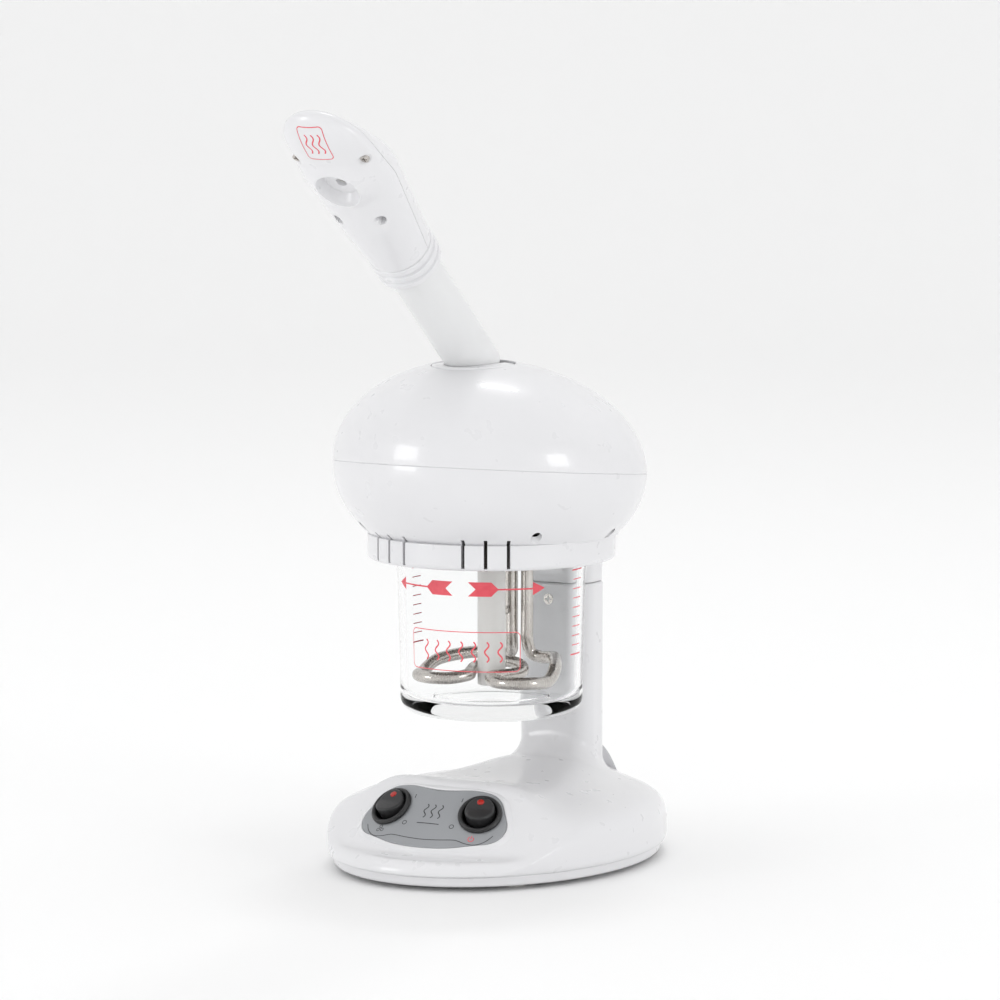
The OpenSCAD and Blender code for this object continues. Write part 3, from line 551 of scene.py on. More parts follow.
def panel_outline(turn, grow=0.0):
    """Bean outline of the panel as u and v, by direction from its middle."""
    spots = [ellipse_points(x, y, 11.5, 11.5) for x, y in ((-25, 2.5), (25, 2.5), (-30, -6), (30, -6))]
    spots.append(ellipse_points(0, -14, 30, 10.5))
    hull = outer_hull(np.concatenate(spots))
    ahead = np.roll(hull, -1, 0)
    hull = np.concatenate([hull + (ahead - hull) * k / 20 for k in range(20)])
    waist = np.clip(1 - (hull[:, 0] / 21) ** 2, 0, 1) ** 2 * (hull[:, 1] > 0)
    hull[:, 1] -= 2.5 * waist
    angle = np.arctan2(hull[:, 0], -hull[:, 1])
    order = np.argsort(angle)
    reach = np.interp(turn, angle[order], np.hypot(*hull.T)[order], period=2 * math.pi)
    reach = reach + grow
    return reach * np.sin(turn), -reach * np.cos(turn)


def make_panel():
    """Silver overlay with a rounded edge, and the white lip that frames it."""
    turn = np.linspace(-math.pi, math.pi, 240, endpoint=False)
    u, v = panel_outline(turn)
    rows = [on_console(u * share, v * share, 0.95) for share in np.linspace(0, 0.975, 26)]
    for grow, lift in ((-0.35, 0.93), (-0.12, 0.82), (0, 0.6), (0, 0.1), (0, -0.6)):
        rows.append(on_console(*panel_outline(turn, grow), lift))
    overlay = grid_piece("console_overlay", rows, "housing", "grey_panel", SILVER, replaces=["control_panel"])
    rows = []
    for grow, lift in ((0.05, -0.6), (0.05, 0.5), (0.25, 0.85), (0.6, 1.0), (1.0, 1.02), (1.5, 0.9),
                       (2.1, 0.6), (2.8, 0.25), (3.4, 0.02), (4.0, -0.3)):
        rows.append(on_console(*panel_outline(turn, grow), lift))
    grid_piece("console_lip", rows, "housing", "white_casing", WHITE)
    return overlay


console_overlay = make_panel()


# ------------------------------------------------------------------ switches

def switch_matrix(side):
    """Frame of a switch: origin on the console face, +Z out of it."""
    turn = math.asin(SWITCH_X / CONE_R) * side
    return (Matrix.Translation((side * SWITCH_X, SWITCH_Y, CONE_Z)) @ Matrix.Rotation(turn, 4, "Z")
            @ Matrix.Rotation(math.radians(45), 4, "X"))


def rocker_matrix(side):
    """Frame of a rocker at rest: origin on its pivot, 3.5 mm down, tilted by half its travel."""
    joint = next(j for j in frame["joints"] if j["child"] == ("power_rocker" if side > 0 else "ozone_rocker"))
    tilt = -math.radians(joint["range_deg"][1] / 2)
    return switch_matrix(side) @ Matrix.Translation((0, 0, -3.5)) @ Matrix.Rotation(tilt, 4, "X")


def rocker_top(x, y):
    """Height of the rocker's top: two flats that meet in a soft valley."""
    return 8.1 + np.sqrt((0.17 * y) ** 2 + 0.12 ** 2) - 0.006 * x * x


def make_switch(side, word):
    """Bezel, rocker and lens of one round switch."""
    bezel = rounded([(9.0, -8), (9.0, 2.3), (9.9, 3.0), (10.7, 2.9), (11.5, 1.9), (11.5, 1.0), (9.6, 1.0),
                     (9.6, -8)], [0, 0.5, 0.5, 0.6, 0.5, 0.1, 0.1, 0])
    grid_piece(word + "_bezel", placed(lathe_grid(bezel, 96), switch_matrix(side)), "housing",
               "black_plastic", BLACK, replaces=[word + "_switch_body"])
    radius, fillet = 7.8, 1.1
    turn = np.linspace(0, 2 * math.pi, 96, endpoint=False)
    rows = []
    for r in np.linspace(0, radius - fillet, 18):
        x, y = r * np.sin(turn), -r * np.cos(turn)
        rows.append(np.stack([x, y, rocker_top(x, y)], -1))
    for arc in np.linspace(0, math.pi / 2, 8)[1:]:
        r = radius - fillet * (1 - math.sin(arc))
        x, y = r * np.sin(turn), -r * np.cos(turn)
        rows.append(np.stack([x, y, rocker_top(x, y) - fillet * (1 - math.cos(arc))], -1))
    for z in (3.6, 0.5, -3.4):
        rows.append(np.stack([radius * np.sin(turn), -radius * np.cos(turn), np.full_like(turn, z)], -1))
    rows.append(np.stack([0 * turn, 0 * turn, np.full_like(turn, -3.4)], -1))
    grid_piece(word + "_rocker_cap", placed(rows, rocker_matrix(side)), word + "_rocker", "black_plastic",
               BLACK, replaces=[word + "_rocker"])
    lens = rounded([(0, 9.3), (1.2, 9.25), (1.9, 8.95), (1.9, 7.5), (0, 7.5)], [0, 0.6, 0.3, 0.1, 0])
    lens_frame = rocker_matrix(side) @ Matrix.Translation((0, 4.4, 0))
    grid_piece(word + "_lens_window", placed(lathe_grid(lens, 12), lens_frame), word + "_rocker", "red_lens",
               RED_LENS, replaces=[word + "_lens"])


def open_under_switches(piece, reach=10.2, depth=12):
    """Removes the faces of a piece that a switch's body passes through."""
    shape = bmesh.new()
    shape.from_mesh(piece.data)
    axes = [switch_matrix(side).inverted() for side in (-1, 1)]
    hidden = []
    for face in shape.faces:
        x, y, z = face.calc_center_median() / MM
        for to_switch in axes:
            spot = to_switch @ Vector((x, y - JAR_Y, z))
            if math.hypot(spot.x, spot.y) < reach and abs(spot.z) < depth:
                hidden.append(face)
                break
    bmesh.ops.delete(shape, geom=hidden, context="FACES")
    shape.to_mesh(piece.data)
    shape.free()


make_switch(1, "power")
make_switch(-1, "ozone")
open_under_switches(console_overlay)
open_under_switches(cover_skin)


# ------------------------------------------------------------------ head

HEAD_R, HEAD_RY, DOME_H, DOME_LEAN = 82.0, 79.6, 55.9, 0.14
BOWL_H, SEAM_MID_Z, HEAD_Y, TILT = 56.5, 206.9, -1.7, math.radians(5.2)
WALL = 2.5
LEDGE_TOP = 172.8
COLLAR_R = 64.5
COLLAR_Z = jar_box("jar_socket")[0][2] - 0.8
TURRET_Y, TURRET_R = -19.5, 21.6


def from_seam(points):
    """Points of the tilted seam frame in the jar frame."""
    points = np.asarray(points, float)
    c, s = math.cos(TILT), math.sin(TILT)
    return np.stack([points[..., 0], HEAD_Y + c * points[..., 1] + s * points[..., 2],
                     SEAM_MID_Z - s * points[..., 1] + c * points[..., 2]], -1)


def to_seam(points):
    """Points of the jar frame in the tilted seam frame."""
    points = np.asarray(points, float) - [0, HEAD_Y, SEAM_MID_Z]
    c, s = math.cos(TILT), math.sin(TILT)
    return np.stack([points[..., 0], c * points[..., 1] - s * points[..., 2],
                     s * points[..., 1] + c * points[..., 2]], -1)


def dome_point(direction, inset=0.0):
    """Point of the leaning dome for a direction from its middle."""
    x = direction[..., 0] * (HEAD_R - inset)
    z = direction[..., 2] * (DOME_H - inset)
    y = direction[..., 1] * (HEAD_RY - inset) - DOME_LEAN * z
    return from_seam(np.stack([x, y, z], -1))


def dome_direction_over(x, y):
    """Direction whose dome point lies over a place in plan."""
    low, high = np.full_like(x, SEAM_MID_Z), np.full_like(x, SEAM_MID_Z + DOME_H + 10)
    for _ in range(40):
        z = (low + high) / 2
        q = to_seam(np.stack([x, y, z], -1))
        size = (q[..., 0] / HEAD_R) ** 2 + ((q[..., 1] + DOME_LEAN * q[..., 2]) / HEAD_RY) ** 2 \
            + (q[..., 2] / DOME_H) ** 2
        low, high = np.where(size < 1, z, low), np.where(size < 1, high, z)
    return np.stack([q[..., 0] / HEAD_R, (q[..., 1] + DOME_LEAN * q[..., 2]) / HEAD_RY,
                     q[..., 2] / DOME_H], -1)


def make_upper_shell():
    """Dome from the turret's hole to the seam, with thickness and softened edges."""
    turn = np.linspace(0, 2 * math.pi, 256, endpoint=False)
    hole = TURRET_R + 0.3
    start = dome_direction_over(hole * np.sin(turn), TURRET_Y - hole * np.cos(turn))
    start /= np.linalg.norm(start, axis=1, keepdims=True)
    end = np.stack([np.sin(turn), -np.cos(turn), np.full_like(turn, 0.006)], -1)
    end /= np.linalg.norm(end, axis=1, keepdims=True)
    angle = np.arccos(np.clip((start * end).sum(1), -1, 1))[:, None]

    def between(t):
        return (np.sin((1 - t) * angle) * start + np.sin(t * angle) * end) / np.sin(angle)

    shares = np.concatenate([[0, 0.004, 0.012], np.linspace(0.02, 0.985, 74), [0.992, 0.997, 1]])
    outer = [dome_point(between(t)) for t in shares]
    lip = dome_point(end)
    inner = [dome_point(between(t), WALL) for t in shares[::-1][3:-3]]
    edge = outer[0] - [0, 0, 0.35]
    rows = [outer[0] - [0, 0, 3.0], edge] + [outer[0] - [0, 0, 0.08]] + outer[1:-1]
    rows += [lip - [0, 0, 0.2] + (from_seam(np.zeros(3)) - lip) * 0.002]
    rows += [dome_point(end, 0.6) - [0, 0, 0.6], dome_point(end, WALL) - [0, 0, 0.5]] + inner
    rows.append(rows[0])
    return grid_piece("dome_shell", rows, "housing", "white_casing", WHITE, replaces=["head_upper_shell"])


def bowl_rows(turn, inset, floor_z, count):
    """Rows of the bowl from the seam down to a level plane."""
    ring = np.stack([np.sin(turn) * (HEAD_R - inset), -np.cos(turn) * (HEAD_RY - inset), 0 * turn], -1)
    depth = BOWL_H - inset

    def at(down):
        point = ring * np.cos(down)[:, None]
        point[:, 2] = -depth * np.sin(down)
        return from_seam(point)

    low, high = np.zeros_like(turn), np.full_like(turn, math.pi / 2)
    for _ in range(40):
        middle = (low + high) / 2
        above = at(middle)[:, 2] > floor_z
        low, high = np.where(above, middle, low), np.where(above, high, middle)
    first = np.full_like(turn, 0.004)
    return [at(first + (low - first) * t) for t in np.linspace(0, 1, count)]


def ring_row(turn, radius, z):
    """A level circle about the jar's axis."""
    return np.stack([radius * np.sin(turn), -radius * np.cos(turn), np.full_like(turn, z)], -1)


def make_lower_shell():
    """Bowl, crease and vented collar as one closed skin, with its slots and screw recesses cut."""
    turn = np.linspace(0, 2 * math.pi, 288, endpoint=False)
    outer = bowl_rows(turn, 0, LEDGE_TOP + 0.2, 60)
    inner = bowl_rows(turn, WALL, LEDGE_TOP + 2.2, 24)[::-1]
    lip = outer[0] + (from_seam(np.zeros(3)) - outer[0]) * 0.002 + [0, 0, 0.17]
    rows = [lip] + outer
    crease = outer[-1]
    reach = np.hypot(crease[:, 0], crease[:, 1])
    collar = rounded([(COLLAR_R - 4, LEDGE_TOP), (COLLAR_R, LEDGE_TOP), (COLLAR_R, COLLAR_Z),
                      (COLLAR_R - 7, COLLAR_Z), (COLLAR_R - 7, LEDGE_TOP)], [0, 0.5, 2.4, 0.8, 0])
    for radius, z in collar[1:-1]:
        plan = ring_row(turn, radius, z)
        if z > LEDGE_TOP - 0.6:
            grow = np.maximum(reach - radius, 0)
            plan[:, :2] *= ((radius + grow) / radius)[:, None]
        rows.append(plan)
    rows.append(ring_row(turn, COLLAR_R - 7, LEDGE_TOP + 1.6))
    rows += inner
    rows.append(rows[0])
    piece = grid_piece("bowl_and_collar", rows, "housing", "white_casing", WHITE,
                       replaces=["head_lower_shell"])
    cutters = []
    for side in (-1, 1):
        for angle in (15.4, 25.8, 36.2):
            place = (Matrix.Rotation(math.radians(side * angle), 4, "Z")
                     @ Matrix.Translation((0, -COLLAR_R + 2.55, (COLLAR_Z + LEDGE_TOP) / 2 + 2)))
            cutters.append(box_cutter((1.8, 9.1, LEDGE_TOP - COLLAR_Z + 1.6), place))
    for angle in (48, 92, 146, -48, -92, -146):
        place = Matrix.Rotation(math.radians(angle), 4, "Z") @ Matrix.Translation((0, -67.6, 0))
        cutters.append(round_cutter(2.9, LEDGE_TOP + 0.4, LEDGE_TOP + 9, place))
    cut_away(piece, cutters)
    return piece


def make_stub():
    """Upper part of the column, slightly narrower than the part below it."""
    turn = np.linspace(-math.pi, math.pi, 160, endpoint=False)
    outline, outward = column_ray(turn)
    profile = rounded([(-8, 0), (-0.35, 0), (-0.35, 48)], [0, 0.6, 0])
    rows = []
    for offset, z in profile:
        rows.append(np.column_stack([outline + outward * offset,
                                     np.full(len(turn), COLUMN_TOP + 0.35 + z)]))
    rows.append(np.column_stack([outline * 0 + [0, COLUMN_Y], np.full(len(turn), COLUMN_TOP + 48)]))
    grid_piece("column_stub", rows, "housing", "white_casing", WHITE)


make_upper_shell()
make_lower_shell()
make_stub()


# ------------------------------------------------------------------ jar and heater

JAR_LOW, JAR_HIGH = jar_box("glass_jar")
JAR_Z, JAR_TOP, JAR_R = JAR_LOW[2], JAR_HIGH[2], JAR_HIGH[0]
JAR_FOOT_R, JAR_FLOOR, GLASS_WALL = 47.4, 86.8, 3.2
NECK_Z = COLLAR_Z + 1


def jar_radius(z):
    """Outer radius of the jar above its rounded foot."""
    return JAR_FOOT_R + (JAR_R - JAR_FOOT_R) * np.clip((z - JAR_Z - 10) / (NECK_Z - JAR_Z - 10), 0, 1)


def make_jar():
    """Pressed glass: rounded heavy foot with a shallow punt, thin wall and a fire-polished rim."""
    inner = JAR_FOOT_R - GLASS_WALL
    outline = [(0, JAR_Z + 1.6), (29, JAR_Z + 1.4), (31, JAR_Z), (JAR_FOOT_R, JAR_Z),
               (JAR_FOOT_R + 0.2, JAR_Z + 23), (JAR_R, NECK_Z), (JAR_R, JAR_TOP),
               (JAR_R - GLASS_WALL, JAR_TOP), (JAR_R - GLASS_WALL, NECK_Z),
               (inner + 0.2, JAR_FLOOR + 19), (inner, JAR_FLOOR), (31, JAR_FLOOR), (29.5, JAR_FLOOR + 0.9),
               (0, JAR_FLOOR + 0.9)]
    radii = [0, 1.0, 0.8, 11, 4, 6, 1.2, 1.2, 6, 4, 9, 0.8, 0.8, 0]
    grid = lathe_grid(rounded(outline, radii, steps=12), 192)
    grid_piece("jar_glass_body", grid, "jar", "jar_glass", GLASS, replaces=["glass_jar"])


half_route = [(4.6, 31, 30), (4.6, 31, 16), (6, 33, 8), (12, 33, 6), (22, 28, 7), (28, 18, 7), (35, 4, 5),
              (37, -8, 0), (33, -19, 0), (23, -24, 0), (13, -21, 0), (7, -13, 1), (10, -5, 1), (13, 2, 1),
              (14, 8, 2), (9, 14.5, 4), (0, 17, 5)]
LOOP_Z = JAR_FLOOR + 11


def smooth_route(points, steps):
    """Catmull-Rom curve through points."""
    p = np.array([points[0], *points, points[-1]], float)
    out = []
    for i in range(1, len(p) - 2):
        for u in np.arange(steps) / steps:
            out.append((2 * p[i] + (p[i + 1] - p[i - 1]) * u
                        + (2 * p[i - 1] - 5 * p[i] + 4 * p[i + 1] - p[i + 2]) * u * u
                        + (3 * p[i] - p[i - 1] - 3 * p[i + 1] + p[i + 2]) * u ** 3) / 2)
    out.append(p[-1])
    return np.array(out)


def tube_grid(route, radius, sides=24):
    """Rings swept along a route without twist."""
    tangents = np.gradient(route, axis=0)
    tangents /= np.linalg.norm(tangents, axis=1, keepdims=True)
    up = np.array([0.0, 1.0, 0.0])
    turn = np.linspace(0, 2 * math.pi, sides, endpoint=False)
    rings = []
    for point, along in zip(route, tangents):
        up = up - along * (up @ along)
        up /= np.linalg.norm(up)
        across = np.cross(along, up)
        rings.append(point + radius * (np.cos(turn)[:, None] * across + np.sin(turn)[:, None] * up))
    return np.array(rings)


def make_heater():
    """Bent stainless tube: two straight legs and the looped element."""
    route = [(4.6, 31, 90), *half_route, *[(-x, y, z) for x, y, z in half_route[-2::-1]], (-4.6, 31, 90)]
    path = smooth_route(route, 10) + [0, 0, LOOP_Z]
    grid_piece("heater_loop", tube_grid(path, 3.25), "housing", "steel", STEEL, replaces=["heater_tube"])


def make_thermowell():
    """Sensor sleeve with a crimped ring near its closed end."""
    low, high = jar_box("thermowell")
    r = (high[0] - low[0]) / 2
    z = low[2]
    profile = rounded([(0, z), (r - 0.2, z), (r - 0.2, z + 3.2), (r - 0.55, z + 3.6), (r - 0.55, z + 4.4),
                       (r, z + 4.8), (r, high[2]), (0, high[2])], [0, 1.4, 0.1, 0.1, 0.1, 0.1, 0.2, 0])
    middle = (low + high) / 2
    grid_piece("sensor_sleeve", lathe_grid(profile, 48) + [middle[0], middle[1], 0], "housing", "steel",
               STEEL, replaces=["thermowell"])


def make_centre_tube():
    """White plastic tube with softened ends."""
    low, high = jar_box("centre_tube")
    r = high[0]
    profile = rounded([(r - 1.6, low[2] + 3), (r - 1.6, low[2]), (r, low[2]), (r, high[2]),
                       (r - 1.6, high[2]), (r - 1.6, low[2] + 3)], [0, 0.5, 0.6, 0.3, 0.3, 0])
    grid_piece("steam_column", lathe_grid(profile, 64), "housing", "natural_plastic", NATURAL,
               replaces=["centre_tube"])


make_jar()
make_heater()
make_thermowell()
make_centre_tube()


# ------------------------------------------------------------------ print on the jar

PRINT_TURN = 9.3          # degrees from the front, to the right, of the middle of the print


def on_jar(across, z, lift=0.04):
    """Points just outside the glass: across in millimetres of arc from the print's middle."""
    radius = jar_radius(z) + lift
    turn = math.radians(PRINT_TURN) + np.asarray(across, float) / JAR_R
    return np.stack([radius * np.sin(turn), -radius * np.cos(turn), np.broadcast_to(z, np.shape(turn))], -1)


class Decal:
    """Thin printed shapes gathered into one mesh, drawn on a mapped flat sheet."""

    def __init__(self, mapping):
        self.mapping, self.points, self.faces = mapping, [], []

    def strip(self, left, right):
        """A band between two lists of flat points."""
        left, right = np.asarray(left, float), np.asarray(right, float)
        start = len(self.points)
        for a, b in zip(left, right):
            self.points += [a, b]
        for i in range(len(left) - 1):
            k = start + 2 * i
            self.faces.append((k, k + 1, k + 3, k + 2))

    def line(self, path, width, closed=False, step=1.0):
        """A line of even width along flat points."""
        path = [np.array(p, float) for p in path]
        if closed:
            path.append(path[0])
        dense = [path[0]]
        for a, b in zip(path, path[1:]):
            count = max(1, int(np.linalg.norm(b - a) / step))
            dense += [a + (b - a) * k / count for k in range(1, count + 1)]
        dense = np.array(dense)
        if closed:
            body = dense[:-1]
            tangent = np.roll(body, -1, 0) - np.roll(body, 1, 0)
            tangent = np.vstack([tangent, tangent[:1]])
        else:
            tangent = np.gradient(dense, axis=0)
        tangent /= np.linalg.norm(tangent, axis=1, keepdims=True)
        side = np.stack([-tangent[:, 1], tangent[:, 0]], -1) * width / 2
        self.strip(dense + side, dense - side)

    def make(self, name, body, material):
        """The gathered shapes as one piece."""
        flat = np.array(self.points)
        return make_piece(name, self.mapping(flat[:, 0], flat[:, 1]), self.faces, body, None, material)


def rounded_frame(cx, cy, width, height, corner, steps=8):
    """Closed outline of a rounded rectangle."""
    path = []
    for sx, sy, first in ((1, 1, 0), (-1, 1, 90), (-1, -1, 180), (1, -1, 270)):
        for k in range(steps + 1):
            turn = math.radians(first + 90 * k / steps)
            path.append((cx + sx * (width / 2 - corner) + corner * math.cos(turn),
                         cy + sy * (height / 2 - corner) + corner * math.sin(turn)))
    return path


def squiggle(x, low, high, swing, waves=1.5, count=24):
    """Rising wavy line, as a simple sign for steam."""
    t = np.linspace(0, 1, count)
    return np.column_stack([x + swing * np.sin(t * waves * 2 * math.pi), low + (high - low) * t])


def draw_arrow(decal, side, z):
    """Turning arrow with a notched tail block, a shaft and a solid head."""
    tail, shoulder, point, head, tip = 4.2, 16.3, 20.2, 38.5, 45.5
    half = 3.7
    rows = np.linspace(-1, 1, 13)
    notch = tail + 4.0 * (1 - np.abs(rows))
    front = shoulder + (point - shoulder) * (1 - np.abs(rows))
    for near, far in ((0, 0.34), (0.34, 0.67), (0.67, 1)):
        decal.strip(np.column_stack([side * (notch + (front - notch) * near), z + rows * half]),
                    np.column_stack([side * (notch + (front - notch) * far), z + rows * half]))
    decal.line([(side * (point - 0.5), z), (side * (head + 0.5), z)], 0.8)
    steps = np.linspace(0, 1, 9)
    head_half = 3.4 * (1 - steps)
    x = side * (head + (tip - head) * steps)
    decal.strip(np.column_stack([x, z + head_half]), np.column_stack([x, z - head_half]))


def make_jar_print():
    """Turning arrows, a framed steam sign and two scales, all in red."""
    decal = Decal(on_jar)
    for side in (-1, 1):
        draw_arrow(decal, side, 148.6)
    decal.line(rounded_frame(0, 116.2, 63.5, 20.4, 2.6), 0.45, closed=True)
    for x in np.linspace(-21, 21, 7):
        decal.line(squiggle(x, 111, 121.4, 1.1), 0.8, step=0.6)
    for centre in (83.9, -104):
        for k in range(10):
            middle = math.radians(centre) * JAR_R
            width = 11.5 if k in (0, 9) else 9.0
            z = 155.8 - 4.9 * k
            decal.line([(middle - width / 2, z), (middle + width / 2, z)], 0.75 if k in (0, 9) else 0.5)
    decal.make("jar_print", "jar", PRINT)


def ring_path(cx, cy, radius, first=0, last=360, count=28):
    """Points of a circle or an arc of one, in degrees from the right."""
    turn = np.radians(np.linspace(first, last, count))
    return np.stack([cx + radius * np.cos(turn), cy + radius * np.sin(turn)], -1)


def make_panel_print():
    """Border line, on and off marks, a steam sign, and one sign under each switch."""
    dark = Decal(lambda u, v: on_console(u, v, 1.0))
    half_line = [(0, -19.6), (9, -19.0), (17.5, -17.7), (20.5, -17.9), (24, -18.6), (28, -18.6),
                 (31.5, -17.2), (34.5, -14.4), (36.6, -10.6)]
    border = smooth_route([(-u, v, 0) for u, v in half_line[:0:-1]] + [(u, v, 0) for u, v in half_line], 6)
    dark.line(border[:, :2], 0.42, step=0.5)
    for side in (-1, 1):
        dark.line([(side * 13.7, 5.6), (side * 13.7, 8.0)], 0.42)
        dark.line(ring_path(side * 13.7, -9.9, 1.15), 0.38, step=0.4)
    for x in (-4.2, 0, 4.2):
        dark.line(squiggle(x, -6.2, 2.2, 0.85), 0.6, step=0.4)
    dark.line([(-6.4, -9.6), (6.4, -9.6)], 0.5)
    for x, y in ((-28.2, -14.6), (-25.8, -14.6), (-27, -12.6)):
        dark.line(ring_path(x, y, 0.85), 0.36, step=0.4)
    dark.make("console_print", "housing", DARK_PRINT)
    red = Decal(lambda u, v: on_console(u, v, 1.0))
    red.line(ring_path(26.4, -15.3, 1.45, 125, 415), 0.42, step=0.4)
    red.line([(26.4, -15.2), (26.4, -13.2)], 0.42)
    red.make("power_sign", "housing", PRINT)


make_jar_print()
make_panel_print()


# ------------------------------------------------------------------ arm and nozzle

ARM_JOINT = next(j for j in frame["joints"] if j["child"] == "arm")
NOZZLE_JOINT = next(j for j in frame["joints"] if j["child"] == "nozzle")
ARM_R, ARM_LENGTH = 13.4, 92.5


def joint_origin(joint):
    """A joint's position about the jar's axis, in millimetres."""
    return Vector(joint["pos_m"]) / MM - Vector((0, JAR_Y, 0))


ARM_LEAN = math.acos(NOZZLE_JOINT["axis"][2])
ARM = Matrix.Translation(joint_origin(ARM_JOINT)) @ Matrix.Rotation(ARM_LEAN, 4, "X")
NOZZLE = Matrix.Translation(joint_origin(NOZZLE_JOINT)) @ Matrix.Rotation(ARM_LEAN, 4, "X")


def make_turret():
    """Round disc, nearly flush with the dome, with a clearance round the tube."""
    cap = 118.0
    origin = joint_origin(ARM_JOINT)
    radii = np.linspace(0, TURRET_R - 0.5, 16)
    top = [(r, math.sqrt(cap ** 2 - r ** 2) - cap) for r in radii]
    edge = math.sqrt(cap ** 2 - TURRET_R ** 2) - cap
    profile = top + [(TURRET_R - 0.15, edge - 0.1), (TURRET_R, edge - 0.4), (TURRET_R, -9), (0, -9)]
    piece = grid_piece("turret_disc", lathe_grid(profile, 160) + np.array(origin), "arm", "white_casing",
                       WHITE, replaces=["arm_turret"])
    cut_away(piece, [round_cutter(ARM_R + 0.3, -30, 60, ARM, 96)])


def make_tube():
    """Frosted arm tube with softened ends."""
    inner = ARM_R - 1.6
    profile = rounded([(inner, 0), (inner, -3.4), (ARM_R, -3.4), (ARM_R, ARM_LENGTH - 0.2),
                       (inner, ARM_LENGTH - 0.2), (inner, 0)], [0, 0.3, 0.3, 0.5, 0.5, 0], steps=4)
    grid_piece("frosted_arm", placed(lathe_grid(profile, 128), ARM), "arm", "clear_tube", FROSTED,
               replaces=["arm_tube"])


def make_grip_ring():
    """Ribbed ring: three soft ridges with grooves between them."""
    inner, outer = ARM_R + 0.08, 17.3
    z = np.linspace(-7, 7, 90)
    ridge = outer - 1.25 * np.exp(-((np.abs(z) - 2.6) / 0.95) ** 4)
    ridge = np.minimum(ridge, outer - 0.02 - 1.1 * np.maximum(np.abs(z) - 6.1, 0) ** 2)
    profile = [(inner, 0), (inner, -6.6), (inner + 0.3, -7), (outer - 1.3, -7), *zip(ridge, z),
               (outer - 1.3, 7), (inner + 0.3, 7), (inner, 6.6), (inner, 0)]
    grid_piece("grip_ring", placed(lathe_grid(profile, 160), NOZZLE), "nozzle", "white_casing", WHITE,
               replaces=["nozzle_ring"])


def nozzle_envelope():
    """Half width, front and back of the nozzle along its length, as hulls of its sections."""
    length_side = np.array([[7.2, 16.8], [38, 17.4]])

    def silhouette(first, second):
        points = np.concatenate([ellipse_points(*first), ellipse_points(*second), length_side])
        hull = outer_hull(np.concatenate([points, [[7.2, -60], [119, -60]]]))
        upper = hull[hull[:, 1] > -59.9]
        return upper[np.argsort(upper[:, 0])]

    width = silhouette((70, 0, 24, 26), (94, 0, 25, 22.5))
    back = silhouette((70, 2, 24, 14.5), (94, -3.6, 25, 9))
    front = silhouette((70, -2, 24, 14.5), (94, 3.6, 25, 9))
    return width, back, front


def cone_front(r):
    """Forward reach of the outlet cone and its cup at a distance from its middle."""
    skirt = np.interp(r, [0, 12.2, 20.5, 40], [15.5, 15.5, 8.0, -14])
    cup = np.interp(r, [0, 2.3, 2.5, 8.3, 11.3, 11.5], [5, 5, 10, 10, 15.2, 40])
    return skirt, cup


def make_nozzle():
    """Spoon-shaped head: one dense skin, cut at the seam into a front and a rear shell."""
    width, back, front = nozzle_envelope()
    tip = 119.0
    fine = np.arange(46, 99, 0.42)
    z_rows = np.concatenate([np.linspace(7.2, 46, 40, endpoint=False), fine,
                             tip - (tip - 99) * (1 - np.linspace(0, 1, 60)) ** 2])
    z_rows[-1] = tip - 1e-3
    count = 420
    alpha = np.linspace(0, 2 * math.pi, count, endpoint=False)
    w = np.interp(z_rows, *width.T)
    b = np.interp(z_rows, *back.T)
    f = -np.interp(z_rows, *front.T)
    tip_y = -3.6
    rise = np.clip((tip - z_rows) / 0.001, 0, 1)
    w, b, f = w * rise, tip_y + (b - tip_y) * rise, tip_y + (f - tip_y) * rise
    middle, depth = (b + f) / 2, (b - f) / 2
    x = w[:, None] * np.cos(alpha)
    y = middle[:, None] - depth[:, None] * np.sin(alpha)
    z = np.repeat(z_rows[:, None], count, 1)
    facing = np.sin(alpha)[None, :] > 0.05
    cone_z = 72.5
    r = np.hypot(x, z - cone_z)
    for edge in (2.4, 8.3, 11.4, 12.3):
        snap = facing & (np.abs(r - edge) < 0.21)
        scale = np.where(snap, edge / np.maximum(r, 1e-6), 1)
        x, z = x * scale, cone_z + (z - cone_z) * scale
    r = np.hypot(x, z - cone_z)
    skirt, cup = cone_front(r)
    raised = smooth_max(-y, skirt, 3.0)
    shaped = smooth_min(raised, cup, 0.5)
    y = np.where(facing & (r < 25), -shaped, y)
    for sx, sz in ((-19, 88), (19, 88), (-12, 47), (12, 47)):
        r = np.hypot(x - sx, z - sz)
        snap = facing & (np.abs(r - 2.6) < 0.22)
        scale = np.where(snap, 2.6 / np.maximum(r, 1e-6), 1)
        x, z = sx + (x - sx) * scale, sz + (z - sz) * scale
        r = np.hypot(x - sx, z - sz)
        soft = facing & (r < 3.4)
        y = np.where(soft, y + 0.5 * np.clip((3.4 - r) / 0.8, 0, 1) ** 2, y)
        y = np.where(facing & (r < 2.5), np.maximum(y, -6.4), y)
    grid = placed(np.stack([x, y, z], -1), NOZZLE)
    for name, side, node in (("nozzle_face", -1, "nozzle_front_shell"),
                             ("nozzle_back", 1, "nozzle_rear_shell")):
        piece = grid_piece(name, grid, "nozzle", "white_casing", WHITE, replaces=[node])
        shape = bmesh.new()
        shape.from_mesh(piece.data)
        frame_m = NOZZLE.to_3x3()
        origin = Vector(to_frame([NOZZLE @ Vector((0, -1 + side * 0.09, 0))])[0])
        bmesh.ops.bisect_plane(shape, geom=shape.verts[:] + shape.edges[:] + shape.faces[:], dist=1e-7,
                               plane_co=origin, plane_no=frame_m @ Vector((0, side, 0)), clear_inner=True)
        shape.to_mesh(piece.data)
        shape.free()
        thick = piece.modifiers.new("wall", "SOLIDIFY")
        thick.thickness = 1.6 * MM
        thick.offset = -1
        apply_modifiers(piece)
        piece.data.set_sharp_from_angle(angle=math.radians(50))


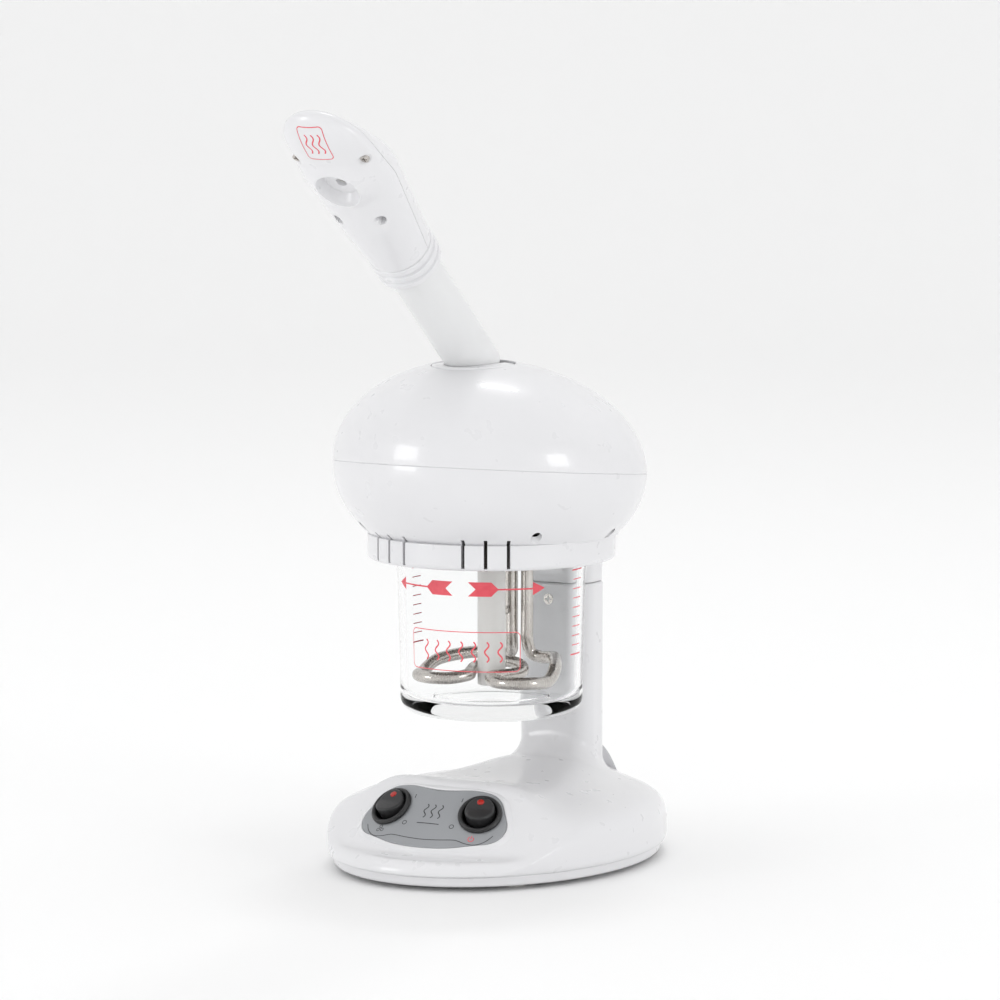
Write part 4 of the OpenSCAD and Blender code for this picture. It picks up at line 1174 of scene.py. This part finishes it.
def on_nozzle(across, z, lift=0.06):
    """Points just outside the nozzle's front, across and along it."""
    width, back, front = nozzle_envelope()
    w, b, f = np.interp(z, *width.T), np.interp(z, *back.T), -np.interp(z, *front.T)
    y = (b + f) / 2 - (b - f) / 2 * np.sqrt(1 - (across / w) ** 2) - lift
    return placed(np.stack([across, y, z], -1), NOZZLE)


def make_nozzle_print():
    """Framed steam sign near the nozzle's tip."""
    decal = Decal(on_nozzle)
    decal.line(rounded_frame(0, 104.5, 14, 20, 2), 0.45, closed=True)
    for x in (-3.6, 0, 3.6):
        decal.line(squiggle(x, 98.5, 110.5, 0.9), 0.7, step=0.6)
    decal.make("nozzle_print", "nozzle", PRINT)


make_turret()
make_tube()
make_grip_ring()
make_nozzle()
make_nozzle_print()


# ------------------------------------------------------------------ stage, light and camera

def make_stage():
    """A pale floor that sweeps up into a wall all round, far from the object."""
    profile = rounded([(0, 0), (5.2, 0), (5.2, 3.6)], [0, 2.0, 0], steps=16)
    grid = lathe_grid(profile, 96)
    mesh = bpy.data.meshes.new("floor")
    mesh.from_pydata(grid.reshape(-1, 3).tolist(), [], grid_faces(*grid.shape[:2]))
    mesh.shade_smooth()
    floor = bpy.data.objects.new("floor", mesh)
    bpy.context.scene.collection.objects.link(floor)
    material, _, _, shader, _ = new_material("pale_floor")
    shader.inputs["Base Color"].default_value = (0.94, 0.94, 0.94, 1)
    shader.inputs["Roughness"].default_value = 0.9
    mesh.materials.append(material)


def area_light(name, bearing, lift, distance, size, power):
    """A softbox aimed at the object's middle, placed by bearing from the front and by elevation."""
    target = Vector((0, 0, 0.2))
    bearing, lift = math.radians(bearing), math.radians(lift)
    away = Vector((math.sin(bearing) * math.cos(lift), -math.cos(bearing) * math.cos(lift), math.sin(lift)))
    light = bpy.data.lights.new(name, "AREA")
    light.shape = "RECTANGLE"
    light.size, light.size_y = size
    light.energy = power
    lamp = bpy.data.objects.new(name, light)
    lamp.location = target + away * distance
    lamp.rotation_euler = away.to_track_quat("Z", "Y").to_euler()
    bpy.context.scene.collection.objects.link(lamp)


def make_light():
    """A pale sky and three softboxes: left, right and overhead."""
    world = bpy.data.worlds.new("surround")
    world.use_nodes = True
    background = world.node_tree.nodes["Background"]
    background.inputs["Color"].default_value = (1, 1, 1, 1)
    background.inputs["Strength"].default_value = 0.98
    bpy.context.scene.world = world
    area_light("left_box", -36.6, 6, 2.4, (0.8, 0.8), 9)
    area_light("right_box", 77.4, 8.4, 2.4, (0.7, 0.7), 8)
    area_light("top_box", -165, 63.7, 2.2, (0.5, 0.12), 5)


def make_camera():
    """The camera on the photograph's line of sight."""
    turn, distance, height, pitch = math.radians(28.475), 2500.2, 463.6, math.radians(6.262)
    camera = bpy.data.cameras.new("camera")
    camera.sensor_width = 36
    camera.lens = 174.44
    camera.shift_x = 0.0085
    eye = bpy.data.objects.new("camera", camera)
    eye.location = to_frame([(distance * math.sin(turn), -distance * math.cos(turn), height)])[0]
    eye.rotation_euler = (math.pi / 2 - pitch, 0, turn)
    bpy.context.scene.collection.objects.link(eye)
    bpy.context.scene.camera = eye


make_stage()
make_light()
make_camera()
bpy.context.scene.view_settings.view_transform = "Standard"
